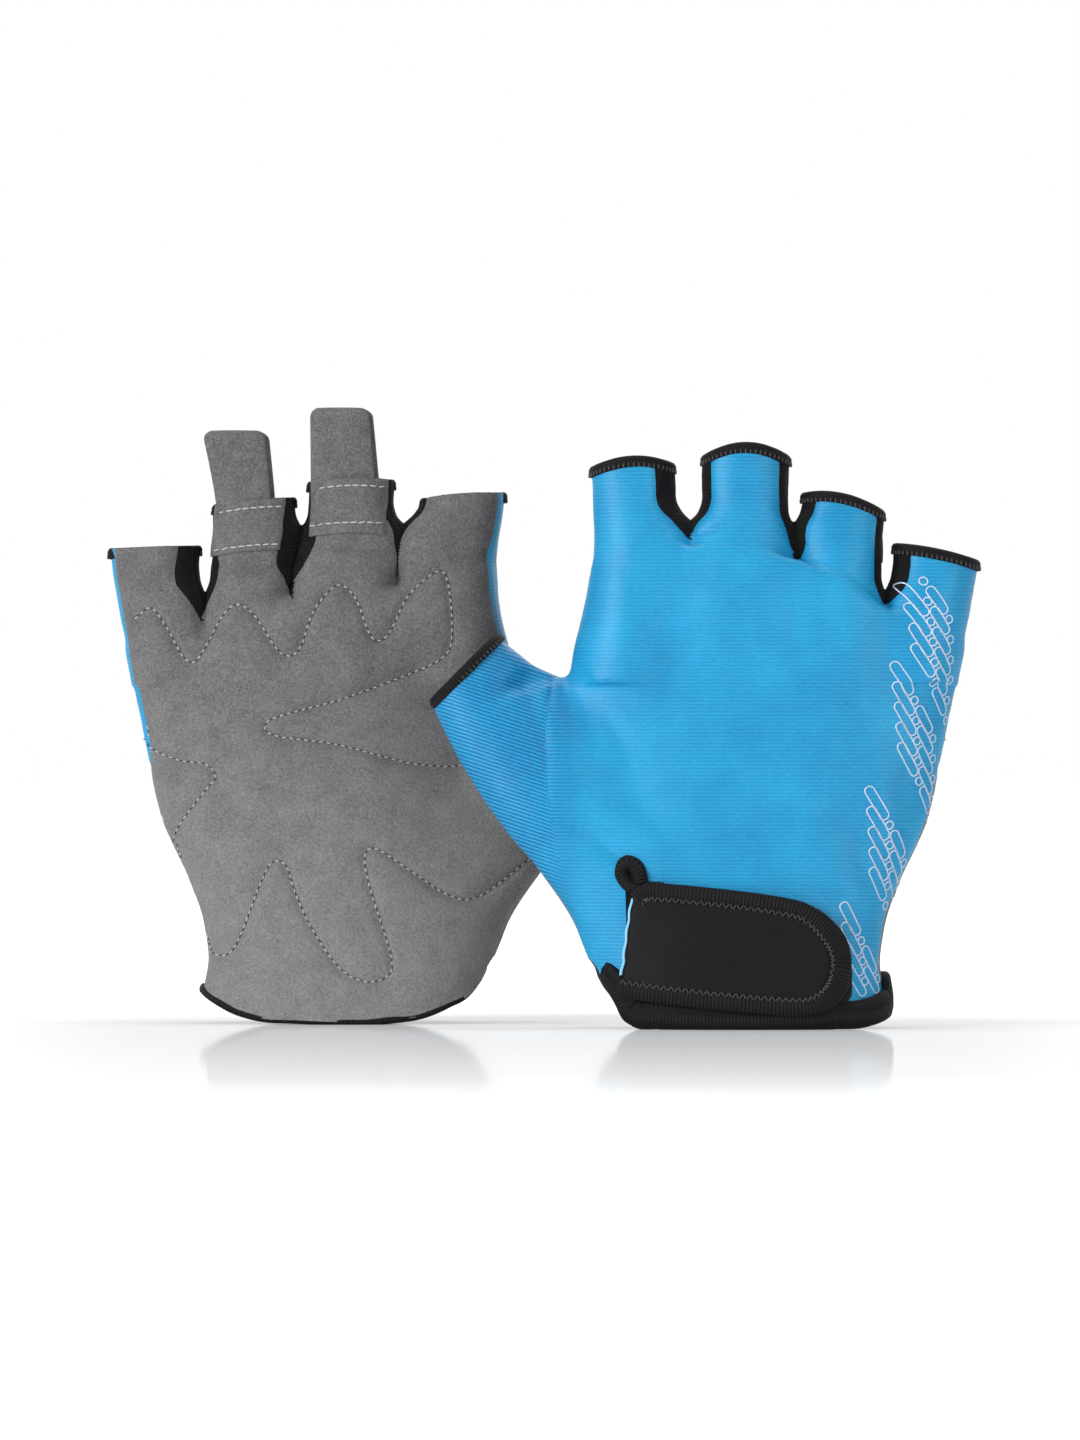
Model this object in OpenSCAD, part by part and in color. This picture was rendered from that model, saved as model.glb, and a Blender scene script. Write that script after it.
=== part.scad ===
// A pair of half-finger sailing gloves, both for the right hand.
// Each glove is drawn once in its own frame: X runs from the thumb edge (minus)
// to the little-finger edge (plus), Y from the back of the hand (minus) to the
// palm (plus), and Z up from the wrist hem. Two placed copies make the pair.

/* [Hand] */
// Width across the knuckles
palm_w = 107; // [100:1:114]
// Height from the wrist hem to the tip of the middle finger
hand_h = 163; // [155:1:172]
// Thickness of the filled hand at the wrist
wrist_d = 40; // [36:1:44]

/* [Pair] */
// Distance between the two gloves, measured along the row they stand in
pair_x = 112.8; // [112:0.2:150]
// Distance between the two gloves, front to back
pair_y = 50; // [50:1:70]
// How much shorter the fingers of the first glove are, index to little finger
short_a = [8, 9, 1, 0.5];

/* [Fabric] */
// Thickness of the shell fabric
fabric_t = 1.5; // [1.2:0.1:2]
// Gap at each seam where the glove flexes
seam_gap = 0.5; // [0.4:0.1:0.8]
// Height of the folded tape round each finger opening
binding_h = 2.8; // [2:0.1:4]
// How far the tape stands out from the fabric on each face
binding_t = 0.6; // [0.3:0.1:0.8]
// Height of the tape round the wrist hem
hem_h = 2.4; // [2:0.1:3.5]

/* [Wrist strap] */
// Thickness of the strap
strap_t = 2.2; // [1.8:0.1:3]
// Width of the ribbed tape round the strap
strap_tape = 4.4; // [3:0.1:6]
// Space between the back of the glove and the strap
strap_lift = 1.8; // [1.6:0.1:2.4]

/* [Pull tabs] */
// Width of each pull tab
tab_w = 16.5; // [12:0.5:17]
// Height of each pull tab above the finger opening
tab_h = 20; // [14:1:24]
// Gap inside the loop of each pull tab
tab_gap = 5.6; // [5:0.1:7]
// How far the second glove's tabs are folded down onto the palm side
fold_angle = 172; // [90:1:172]

/* [Hidden] */
FINGER_NAMES = ["index", "middle", "ring", "pinky"];
HAND_PARTS = ["back_panel", "palm_panel", "thumb_gusset", "loop_patch", "wrist_binding",
              "slit_binding", "palm_pads"];
STRAP_PARTS = ["strap", "strap_binding", "hook_patch"];
FINGER_PARTS = ["back", "palm", "gusset", "binding"];
THUMB_PARTS = ["thumb_sleeve", "thumb_binding"];
TAB_PARTS = ["middle_pull_tab", "ring_pull_tab"];

// Colours of the real materials
BLUE = [0.15, 0.58, 0.86];
SUEDE = [0.48, 0.48, 0.49];
BLACK = [0.1, 0.1, 0.11];
FOAM = [0.75, 0.75, 0.7];

// Proportions: widths, heights and depths follow the driving dimensions
kx = palm_w / 107;
kz = hand_h / 163;
ky = wrist_d / 40;

// A section is [thumb-side end, little-finger-side end, half depth], with each end as [x, z]
function sec(x0, z0, x1, z1, depth) = [[x0 * kx, z0 * kz], [x1 * kx, z1 * kz], depth * ky];
function level(z, x0, x1, depth) = sec(x0, z, x1, z, depth);

HAND = [level(-6, -39.6, 40.9, 20.4), level(5, -39.2, 40.3, 20), level(19, -40.5, 37.8, 19),
        level(37, -44, 41.5, 18), level(55, -46.5, 49.5, 17), level(75, -48, 54.2, 16.5),
        level(95, -49, 58.6, 16), level(113, -44.4, 62, 15.5), level(130, -41.9, 64.8, 14.5),
        level(148, -42.2, 67, 13.5)];
THUMB = [sec(-41, 19, -44, 98, 14.5), sec(-60, 48, -49.5, 98.3, 15), sec(-78.5, 73, -52.8, 98.6, 13.5),
         sec(-87, 91, -69, 109.6, 12), sec(-91, 95.5, -73, 114.1, 11.6)];

// Each finger: base edges, base height, tip line from edge to edge, tip half depth
FINGERS = [[-42.2, -15.25, 130, [-42.5, 155.4], [-19.4, 156.6], 10.8],
           [-14.75, 13.35, 134, [-11.7, 161.2], [12.9, 160.6], 10.5],
           [13.85, 38.75, 128, [16.1, 149], [38.6, 144], 10.2],
           [39.25, 62.3, 114, [41.2, 134], [64.7, 129.4], 9.6]];
// Root planes of the fingers, z = [height at x = 0, slope along x, slope along y]
ROOTS = [[128, 0, -0.6], [126.4, -0.1, -0.5], [131.2, -0.47, -0.43], [124.5, -0.3, -0.23]];
// Edges between the fingers, from the thumb side to the little-finger side
CROTCH_X = [-120, -15, 13.6, 39, 120];

// Height of the side seam between the back and the palm, measured toward the palm
seam_y = 5;
// Large enough to cut right across a glove
far = 400;

// Tape round the wrist slit: its width, and how far it stands out on each face
slit_tape = 3;
slit_stand = 0.3;
// Thickness of the loop patch on the glove and of the hook patch under the strap
patch_t = 0.8;
hook_t = 0.58;
// Gap between the hook patch and the strap
hook_gap = 0.12;
// Radius of the strap's corners, and how far its tape reaches under and over it
strap_round = 3;
tape_under = 0.1;
tape_over = 0.3;
// Foam pads: thickness, gap to the palm fabric, and distance from the side seam
pad_t = 2.5;
pad_gap = 0.2;
pad_inset = 3;
// The middle and ring fingers' tape stands out less, so that neighbouring fingers stay clear
inner_tape_t = 0.1;
// Suede loop: thickness of each leg, gap to the finger's tape, and lift above the opening
tab_t = 1.2;
tab_clear = 0.6;
tab_lift = 0.9;

// A rounded flat outline, wider than an ellipse at its corners
function oval(w, d, n = 24, p = 2.5) =
    [for (i = [0 : n - 1]) let (c = cos(360 * i / n), s = sin(360 * i / n))
        [w * sign(c) * pow(abs(c), 2 / p), d * sign(s) * pow(abs(s), 2 / p)]];

module section(s, inset) {
    run = s[1] - s[0];
    translate([(s[0].x + s[1].x) / 2, 0, (s[0].y + s[1].y) / 2])
        rotate([0, -atan2(run.y, run.x), 0])
            linear_extrude(0.02, center = true)
                polygon(oval(norm(run) / 2 - inset, s[2] - inset));
}

// A solid through all the sections, pulled in on every side by the inset
module chain(list, inset) {
    for (i = [0 : len(list) - 2])
        hull() {
            section(list[i], inset);
            section(list[i + 1], inset);
        }
}

module hand_solid(inset) {
    chain(HAND, inset);
    chain(THUMB, inset);
}

module hand_layer(outer, inner) {
    difference() {
        hand_solid(outer);
        hand_solid(inner);
    }
}

// The space below the plane z = z0 + sx * x + sy * y
module below(z0, sx = 0, sy = 0) {
    multmatrix([[1, 0, 0, 0], [0, 1, 0, 0], [sx, sy, 1, z0]])
        translate([-far / 2, -far / 2, -far]) cube(far);
}

// A column of space between two values of x
module column(x0, x1) translate([x0, -far / 2, -far / 2]) cube([x1 - x0, far, far]);

// The space on the palm side of a plane
module palm_side(y) translate([-far / 2, y, -far / 2]) cube(far);

// The space on the back side of a plane
module back_side(y) mirror([0, 1, 0]) palm_side(-y);

// The space under all four finger roots
module under_fingers() {
    for (f = [0 : 3])
        intersection() {
            below(ROOTS[f][0] * kz - seam_gap / 2, ROOTS[f][1], ROOTS[f][2]);
            column(CROTCH_X[f] * kx, CROTCH_X[f + 1] * kx);
        }
}

// The space past a section of a finger or the thumb, on the side of its opening
module beyond(s, step) {
    run = s[1] - s[0];
    translate([s[0].x, 0, s[0].y])
        rotate([0, -atan2(run.y, run.x), 0])
            translate([-far / 2, -far / 2, step]) cube(far);
}

// The bulge of fabric that runs from the wrist out to the thumb
module thumb_side() {
    rotate([90, 0, 0])
        linear_extrude(far, center = true)
            polygon([[-47.5, 28], [-50.5, 97.5], [-120, 97.5], [-120, 28]]);
}

// An outline in the X-Z plane, carried right through the glove
module through_glove() rotate([90, 0, 0]) linear_extrude(far, center = true) children();

// The slit at the thumb side of the wrist, which lets the hand in
module slit_outline() polygon([[-35.5, -8], [-32.5, 44], [-31.5, 44], [-28, -8]]);

module hand_region() {
    difference() {
        under_fingers();
        beyond(THUMB[2], -seam_gap / 2);
        below(hem_h);
    }
}

// Blue stretch fabric over the back of the hand
module back_panel() color(BLUE)
    difference() {
        intersection() {
            hand_layer(0, fabric_t);
            hand_region();
        }
        palm_side(seam_y);
        thumb_side();
        intersection() {
            through_glove() offset(slit_tape) slit_outline();
            back_side(0);
        }
    }

// Grey synthetic suede over the palm
module palm_panel() color(SUEDE)
    difference() {
        intersection() {
            hand_layer(0, fabric_t);
            hand_region();
            palm_side(seam_y);
        }
        thumb_side();
    }

// Stretch fabric that carries the thumb out from the hand
module thumb_gusset() color(BLUE)
    intersection() {
        hand_layer(0, fabric_t);
        hand_region();
        thumb_side();
    }

// Soft loop patch that the strap's hooks hold on to
module loop_patch() color(BLACK)
    intersection() {
        hand_layer(-patch_t, 0);
        back_side(0);
        through_glove() translate([3, 12]) square([23, 20]);
    }

// Folded tape round the wrist hem, which the glove stands on
module wrist_binding() color(BLACK)
    translate([(HAND[1][0].x + HAND[1][1].x) / 2, 0, 0])
        linear_extrude(hem_h)
            difference() {
                w = (HAND[1][1].x - HAND[1][0].x) / 2;
                polygon(oval(w + binding_t, HAND[1][2] + binding_t, 48));
                polygon(oval(w - fabric_t - binding_t, HAND[1][2] - fabric_t - binding_t, 48));
            }

// Folded tape round the wrist slit
module slit_binding() color(BLACK)
    intersection() {
        hand_layer(-slit_stand, fabric_t + slit_stand);
        back_side(0);
        difference() {
            through_glove() offset(slit_tape) slit_outline();
            through_glove() slit_outline();
            below(hem_h);
        }
    }

// Middles of the pads below the fingers, from the little finger to the index
KNUCKLE_PADS = [[46, 93], [22, 99], [-5, 100], [-29, 105]];

// Foam between the palm fabric and its lining, one pad for each grip area
module palm_pads() color(FOAM)
    intersection() {
        hand_layer(fabric_t + pad_gap, fabric_t + pad_gap + pad_t);
        palm_side(seam_y + pad_inset);
        through_glove() scale([kx, kz]) offset(2) {
            for (p = KNUCKLE_PADS) translate(p) square([12, 13], center = true);
            translate([36, 54]) square([10, 24], center = true);
            polygon([[-38, 70], [-10, 70], [-22, 84], [-38, 90]]);
            polygon([[-36, 27], [-20, 27], [-20, 58], [-38, 56]]);
            polygon([[-2, 18], [14, 18], [19, 34], [14, 44], [4, 44]]);
        }
    }

module strap_outline() {
    offset(strap_round) offset(-strap_round)
        polygon([[-34.5, 5], [-33, 37.5], [-27, 40.6], [0, 37.6], [14, 35], [22.5, 30.5], [27, 24],
                 [29.2, 16], [27.5, 9], [22, 5]]);
}

// A layer of the strap body, between two distances out from the back of the hand
module strap_layer(near, out) {
    intersection() {
        hand_layer(-out, -near);
        back_side(-2);
        through_glove() children();
    }
}

// Neoprene wrist strap
module strap() color(BLACK)
    strap_layer(strap_lift, strap_lift + strap_t) offset(-strap_tape) strap_outline();

// Ribbed tape round the strap
module strap_binding() color(BLACK)
    strap_layer(strap_lift - tape_under, strap_lift + strap_t + tape_over) difference() {
        strap_outline();
        offset(-strap_tape) strap_outline();
    }

// Hook patch under the free end of the strap
module hook_patch() color(BLACK)
    strap_layer(strap_lift - hook_gap - hook_t, strap_lift - hook_gap) translate([5, 14]) square([17, 14]);

// A finger's sections, from inside the hand to just past its opening
function finger_sections(f, drop) =
    let (a = FINGERS[f], down = a[2] - 28, run = (a[4] - a[3]) / norm(a[4] - a[3]), up = 4 * [-run.y, run.x],
         left = a[3] - [0, drop], right = a[4] - [0, drop])
    [sec(a[0], down, a[1], down, a[5] + 4.5),
     sec(a[0], a[2], a[1], a[2], a[5] + 2.9),
     sec(left.x, left.y, right.x, right.y, a[5]),
     sec(left.x + up.x, left.y + up.y, right.x + up.x, right.y + up.y, a[5] - 0.2)];

// The same sections, with one more half way between each pair
function split_sections(s) = [for (i = [0 : len(s) - 2]) each [s[i], (s[i] + s[i + 1]) / 2], s[len(s) - 1]];

module finger_layer(f, drop, outer, inner) {
    list = split_sections(finger_sections(f, drop));
    difference() {
        chain(list, outer);
        chain(list, inner);
    }
}

// The space above a finger's root plane and below the tape at its opening
module finger_region(f, drop) {
    difference() {
        translate([-far / 2, -far / 2, 0]) cube(far);
        below(ROOTS[f][0] * kz + seam_gap / 2, ROOTS[f][1], ROOTS[f][2]);
        beyond(finger_sections(f, drop)[2], -binding_h);
    }
}

// How far each finger's side panel reaches in from its edges, thumb side first
SIDES = [[0, 3.4], [3, 3], [3.2, 3], [5.6, 0]];

module side_panels(f) {
    a = FINGERS[f];
    if (SIDES[f][0] > 0) column(a[0] * kx - 1, (a[0] + SIDES[f][0]) * kx);
    if (SIDES[f][1] > 0) column((a[1] - SIDES[f][1]) * kx, a[1] * kx + 1);
}

// Stretch fabric on the back of one finger
module finger_back(f, drop) color(BLUE)
    difference() {
        intersection() {
            finger_layer(f, drop, 0, fabric_t);
            finger_region(f, drop);
        }
        palm_side(f == 0 || f == 3 ? seam_y : 0);
        side_panels(f);
    }

// Suede on the palm side of one finger
module finger_palm(f, drop) color(SUEDE)
    difference() {
        intersection() {
            finger_layer(f, drop, 0, fabric_t);
            finger_region(f, drop);
            palm_side(f == 0 || f == 3 ? seam_y : 0);
        }
        side_panels(f);
    }

// Mesh side panels of one finger, on the sides that face another finger
module finger_gusset(f, drop) color(BLACK)
    intersection() {
        finger_layer(f, drop, 0, fabric_t);
        finger_region(f, drop);
        side_panels(f);
    }

// Folded tape round one finger opening
module finger_binding(f, drop) color(BLACK)
    difference() {
        intersection() {
            finger_layer(f, drop, f == 0 || f == 3 ? -binding_t : -inner_tape_t, fabric_t + binding_t);
            beyond(finger_sections(f, drop)[2], -binding_h);
        }
        beyond(finger_sections(f, drop)[2], 0);
    }

THUMB_STEPS = split_sections(split_sections([THUMB[1], THUMB[2], THUMB[3], THUMB[4]]));

module thumb_layer(outer, inner) {
    difference() {
        chain(THUMB_STEPS, outer);
        chain(THUMB_STEPS, inner);
    }
}

// Free end of the thumb
module thumb_sleeve() color(BLUE)
    difference() {
        intersection() {
            thumb_layer(0, fabric_t);
            beyond(THUMB[2], seam_gap / 2);
        }
        beyond(THUMB[3], -binding_h);
    }

// Folded tape round the thumb opening
module thumb_binding() color(BLACK)
    difference() {
        intersection() {
            thumb_layer(-binding_t, fabric_t + binding_t);
            beyond(THUMB[3], -binding_h);
        }
        beyond(THUMB[3], 0);
    }

// Suede loop that pulls the glove off, hinged where it is sewn to the finger
module pull_tab(f, drop, folded) {
    tip = finger_sections(f, drop)[2];
    run = tip[1] - tip[0];
    reach = tab_gap + 2 * tab_t;
    tall = tab_h - tab_lift;
    color(SUEDE)
        translate([(tip[0].x + tip[1].x) / 2, tip[2] + binding_t + tab_clear, (tip[0].y + tip[1].y) / 2])
            rotate([0, -atan2(run.y, run.x), 0])
                rotate([folded ? -fold_angle : 0, 0, 0])
                    translate([-tab_w / 2, 0, tab_lift])
                        rotate([90, 0, 90])
                            linear_extrude(tab_w)
                                difference() {
                                    translate([-reach, 0]) tab_profile(reach, tall);
                                    translate([tab_t - reach, -1]) tab_profile(tab_gap, tall - tab_t + 1);
                                }
}

// The loop's outline: square below and round on top
module tab_profile(w, h) {
    square([w, h - w / 2]);
    translate([w / 2, h - w / 2]) circle(d = w, $fn = 32);
}

// One glove's place in the pair: the first faces its palm forward, the second its back
module place(g) {
    translate([(g - 0.5) * pair_x, (0.5 - g) * pair_y, 0])
        rotate([0, 0, g == 0 ? 180 : 0])
            children();
}

for (g = [0, 1]) {
    name = g == 0 ? "glove_a_" : "glove_b_";
    drops = g == 0 ? short_a : [0, 0, 0, 0];
    place(g) back_panel();
    place(g) palm_panel();
    place(g) thumb_gusset();
    place(g) loop_patch();
    place(g) wrist_binding();
    place(g) slit_binding();
    place(g) palm_pads();
    place(g) strap();
    place(g) strap_binding();
    place(g) hook_patch();
    place(g) thumb_sleeve();
    place(g) thumb_binding();
    place(g) pull_tab(1, drops[1], g == 1);
    place(g) pull_tab(2, drops[2], g == 1);
    for (f = [0 : 3]) {
        finger = str(name, FINGER_NAMES[f]);
        place(g) finger_back(f, drops[f]);
        place(g) finger_palm(f, drops[f]);
        place(g) finger_gusset(f, drops[f]);
        place(g) finger_binding(f, drops[f]);
    }
}
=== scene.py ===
# A pair of half-finger sailing gloves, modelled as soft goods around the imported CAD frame.
#
# Each glove is worked out in its own frame, in millimetres: x runs from the thumb edge
# (minus) to the little-finger edge (plus), y from the back of the hand (minus) to the palm
# (plus), z up from the wrist hem. The outer surface is the zero set of a smooth field, which
# is meshed, cut along its seams into panels, quilted, and thickened inward.
import math

import bpy
import numpy as np
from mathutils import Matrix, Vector
from mathutils.bvhtree import BVHTree


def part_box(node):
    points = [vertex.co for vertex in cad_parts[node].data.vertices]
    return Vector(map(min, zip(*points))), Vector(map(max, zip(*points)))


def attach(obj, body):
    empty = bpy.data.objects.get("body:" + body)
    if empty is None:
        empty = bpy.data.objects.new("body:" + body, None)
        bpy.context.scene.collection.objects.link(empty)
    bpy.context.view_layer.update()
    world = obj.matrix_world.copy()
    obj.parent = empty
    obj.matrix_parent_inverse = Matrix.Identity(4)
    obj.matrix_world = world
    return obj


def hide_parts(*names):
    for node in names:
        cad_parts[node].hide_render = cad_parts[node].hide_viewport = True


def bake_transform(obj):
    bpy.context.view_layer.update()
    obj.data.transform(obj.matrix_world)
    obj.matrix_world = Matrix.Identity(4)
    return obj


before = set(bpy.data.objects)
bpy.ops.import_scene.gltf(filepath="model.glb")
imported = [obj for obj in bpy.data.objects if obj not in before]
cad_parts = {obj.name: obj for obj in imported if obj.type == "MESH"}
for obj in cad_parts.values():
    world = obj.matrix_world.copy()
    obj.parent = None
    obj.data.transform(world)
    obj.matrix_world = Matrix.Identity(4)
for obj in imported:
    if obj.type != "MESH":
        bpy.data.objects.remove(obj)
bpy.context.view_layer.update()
MM = 0.001
rng = np.random.default_rng(7)


# ---------------------------------------------------------------- shader helpers

def math_node(tree, operation, a, b=0.0):
    node = tree.nodes.new("ShaderNodeMath")
    node.operation = operation
    for socket, value in zip(node.inputs, (a, b)):
        if isinstance(value, (int, float)):
            socket.default_value = value
        else:
            tree.links.new(value, socket)
    return node.outputs[0]


def weighted_sum(tree, *parts):
    """The sum of (value, share) pairs."""
    total = math_node(tree, "MULTIPLY", *parts[0])
    for value, share in parts[1:]:
        total = math_node(tree, "ADD", total, math_node(tree, "MULTIPLY", value, share))
    return total


def ramp(tree, value, start, end, low, high):
    """Eases from low to high as the value goes from start to end."""
    node = tree.nodes.new("ShaderNodeMapRange")
    node.interpolation_type = "SMOOTHSTEP"
    for name, number in (("From Min", start), ("From Max", end), ("To Min", low), ("To Max", high)):
        node.inputs[name].default_value = number
    tree.links.new(value, node.inputs[0])
    return node.outputs[0]


def split_axes(tree, vector):
    node = tree.nodes.new("ShaderNodeSeparateXYZ")
    tree.links.new(vector, node.inputs[0])
    return node.outputs


def mix_shaders(tree, share, first, second, out):
    mix = tree.nodes.new("ShaderNodeMixShader")
    for socket, value in zip(mix.inputs, (share, first, second)):
        tree.links.new(value, socket)
    tree.links.new(mix.outputs[0], out)


def new_material(name, rough, specular=0.5, sheen=0.0, metallic=0.0):
    material = bpy.data.materials.new(name)
    material.use_nodes = True
    tree = material.node_tree
    shader = tree.nodes["Principled BSDF"]
    shader.inputs["Roughness"].default_value = rough
    shader.inputs["Specular IOR Level"].default_value = specular
    shader.inputs["Sheen Weight"].default_value = sheen
    shader.inputs["Sheen Roughness"].default_value = 0.5
    shader.inputs["Metallic"].default_value = metallic
    return material, tree, shader


# ---------------------------------------------------------------- camera, light and stage

PHOTO_SCALE = 3.6  # picture units to a millimetre at the front glove, in a 1440 high picture
VIEW_HEIGHT = 1440 / PHOTO_SCALE * MM
SENSOR = 36
CAMERA_DISTANCE = 3.0
FRONT_GLOVE_Y = -0.025
EYE = (-0.0004, FRONT_GLOVE_Y - CAMERA_DISTANCE, 0.0855)

# Lamps: name, place, size and power
LAMPS = [("key", (-1.9, -1.5, 0.7), (0.9, 0.9), 46), ("fill", (1.5, -1.9, 0.4), (1.0, 1.0), 17),
         ("top", (0.1, 0.1, 2.2), (1.2, 0.9), 20), ("back", (0.4, 2.2, 1.1), (2.0, 1.2), 7)]
LAMP_AIM = (0, 0, 0.08)
SKY_COLOUR = (0.97, 0.985, 1, 1)
SKY_STRENGTH = 0.22
WHITE = (1, 1, 1, 1)

FLOOR_HALF = 12
FLOOR_COLOUR = (0.9, 0.9, 0.9, 1)
# Glow of the white table: what the camera sees near the gloves, and what lights them from below
FLOOR_LIFT = 0.22
FLOOR_BOUNCE = 0.35
# Where the table turns to plain white: distance beside and behind the gloves, and y in front of them
WHITE_AWAY = (0.07, 0.22)
WHITE_FRONT = (-0.4, -1.1)
MIRROR_SHARE = 0.5
MIRROR_FADE = (-0.9, 0.02)
MIRROR_ROUGH = 0.06


def make_camera():
    data = bpy.data.cameras.new("camera")
    data.sensor_width = SENSOR
    data.lens = SENSOR * CAMERA_DISTANCE / VIEW_HEIGHT
    data.clip_end = 50
    camera = bpy.data.objects.new("camera", data)
    camera.location = EYE
    camera.rotation_euler = (math.radians(90), 0, 0)
    bpy.context.scene.collection.objects.link(camera)
    bpy.context.scene.camera = camera


def area_light(name, place, size, power):
    data = bpy.data.lights.new(name, "AREA")
    data.shape = "RECTANGLE"
    data.size, data.size_y = size
    data.energy = power
    lamp = bpy.data.objects.new(name, data)
    lamp.location = place
    lamp.rotation_euler = (Vector(LAMP_AIM) - Vector(place)).to_track_quat("-Z", "Y").to_euler()
    bpy.context.scene.collection.objects.link(lamp)


def background(tree, colour, strength):
    node = tree.nodes.new("ShaderNodeBackground")
    node.inputs["Color"].default_value = colour
    node.inputs["Strength"].default_value = strength
    return node.outputs[0]


def make_world():
    """Soft light on the gloves, and plain white for the camera, in mirrors and through glass."""
    world = bpy.data.worlds.new("studio")
    bpy.context.scene.world = world
    world.use_nodes = True
    tree = world.node_tree
    tree.nodes.clear()
    out = tree.nodes.new("ShaderNodeOutputWorld")
    path = tree.nodes.new("ShaderNodeLightPath")
    seen = math_node(tree, "MAXIMUM", path.outputs["Is Camera Ray"], path.outputs["Is Glossy Ray"])
    seen = math_node(tree, "MAXIMUM", seen, path.outputs["Is Transmission Ray"])
    sky = background(tree, SKY_COLOUR, SKY_STRENGTH)
    mix_shaders(tree, seen, sky, background(tree, WHITE, 1), out.inputs["Surface"])


def floor_material():
    """A white table: matt with shadows, and a mirror that fades away toward the front."""
    material, tree, shader = new_material("floor", 0.9, 0.0)
    shader.inputs["Base Color"].default_value = FLOOR_COLOUR
    shader.inputs["Emission Color"].default_value = WHITE
    path = tree.nodes.new("ShaderNodeLightPath")
    place = tree.nodes.new("ShaderNodeTexCoord")
    x, y, _ = split_axes(tree, place.outputs["Object"])
    aside = math_node(tree, "MULTIPLY", math_node(tree, "ABSOLUTE", x), 0.75)
    behind = math_node(tree, "MAXIMUM", y, 0.0)
    squares = [math_node(tree, "POWER", part, 2) for part in (aside, behind)]
    away = math_node(tree, "SQRT", math_node(tree, "ADD", *squares))
    lift = math_node(tree, "ADD", ramp(tree, away, *WHITE_AWAY, 0, 1), ramp(tree, y, *WHITE_FRONT, 0, 1))
    lift = math_node(tree, "ADD", lift, FLOOR_LIFT)
    seen = math_node(tree, "MULTIPLY", path.outputs["Is Camera Ray"], lift)
    bounce = math_node(tree, "MULTIPLY", path.outputs["Is Diffuse Ray"], FLOOR_BOUNCE)
    tree.links.new(math_node(tree, "ADD", seen, bounce), shader.inputs["Emission Strength"])
    mirror = tree.nodes.new("ShaderNodeBsdfGlossy")
    mirror.inputs["Roughness"].default_value = MIRROR_ROUGH
    fade = ramp(tree, y, *MIRROR_FADE, 0.0, MIRROR_SHARE)
    surface = tree.nodes["Material Output"].inputs["Surface"]
    mix_shaders(tree, fade, shader.outputs[0], mirror.outputs[0], surface)
    return material


def make_floor():
    mesh = bpy.data.meshes.new("floor")
    corners = [(-FLOOR_HALF, -FLOOR_HALF, 0), (FLOOR_HALF, -FLOOR_HALF, 0), (FLOOR_HALF, FLOOR_HALF, 0),
               (-FLOOR_HALF, FLOOR_HALF, 0)]
    mesh.from_pydata(corners, [], [(0, 1, 2, 3)])
    floor = bpy.data.objects.new("floor", mesh)
    bpy.context.scene.collection.objects.link(floor)
    floor.data.materials.append(floor_material())


bpy.context.scene.view_settings.view_transform = "Standard"
make_camera()
make_world()
for lamp_values in LAMPS:
    area_light(*lamp_values)
make_floor()


# ---------------------------------------------------------------- materials

def rest_point(tree):
    """The rest position on the glove, in millimetres, so the pattern stays with the cloth."""
    node = tree.nodes.new("ShaderNodeAttribute")
    node.attribute_name = "rest"
    return node.outputs["Vector"]


def cloth_uv(tree):
    """Millimetres across and along the cloth, as separate numbers."""
    node = tree.nodes.new("ShaderNodeUVMap")
    node.uv_map = "cloth"
    return split_axes(tree, node.outputs["UV"])[:2]


def noise(tree, vector, scale, detail=3.0, rough=0.6, stretch=None):
    if stretch:
        mapping = tree.nodes.new("ShaderNodeMapping")
        mapping.inputs["Scale"].default_value = stretch
        tree.links.new(vector, mapping.inputs["Vector"])
        vector = mapping.outputs["Vector"]
    node = tree.nodes.new("ShaderNodeTexNoise")
    node.inputs["Scale"].default_value = scale
    node.inputs["Detail"].default_value = detail
    node.inputs["Roughness"].default_value = rough
    tree.links.new(vector, node.inputs["Vector"])
    return node.outputs["Fac"]


def ribs(tree, coordinate, pitch):
    """Rounded ridges of the given pitch along a coordinate, from 0 to 1."""
    wave = math_node(tree, "SINE", math_node(tree, "MULTIPLY", coordinate, 2 * math.pi / pitch))
    return math_node(tree, "ADD", math_node(tree, "MULTIPLY", wave, 0.5), 0.5)


def paint(tree, shader, tone, low, high, start=0.3, end=0.7):
    """Colours the surface from low to high as the tone goes from start to end."""
    node = tree.nodes.new("ShaderNodeValToRGB")
    for element, place, colour in zip(node.color_ramp.elements, (start, end), (low, high)):
        element.position = place
        element.color = (*colour, 1)
    tree.links.new(tone, node.inputs[0])
    tree.links.new(node.outputs[0], shader.inputs["Base Color"])


def bump(tree, shader, height, depth_mm):
    node = tree.nodes.new("ShaderNodeBump")
    node.inputs["Strength"].default_value = 1.0
    node.inputs["Distance"].default_value = depth_mm * MM
    tree.links.new(height, node.inputs["Height"])
    tree.links.new(node.outputs[0], shader.inputs["Normal"])


KNIT_PITCH = 0.98
# The thumb's sleeve shows its ribs more, and is darkened by painted shade, from these x outward
RIB_FADE = (-48, -58)
THUMB_PAINTED_SHADE = (-44, -62)


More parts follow.
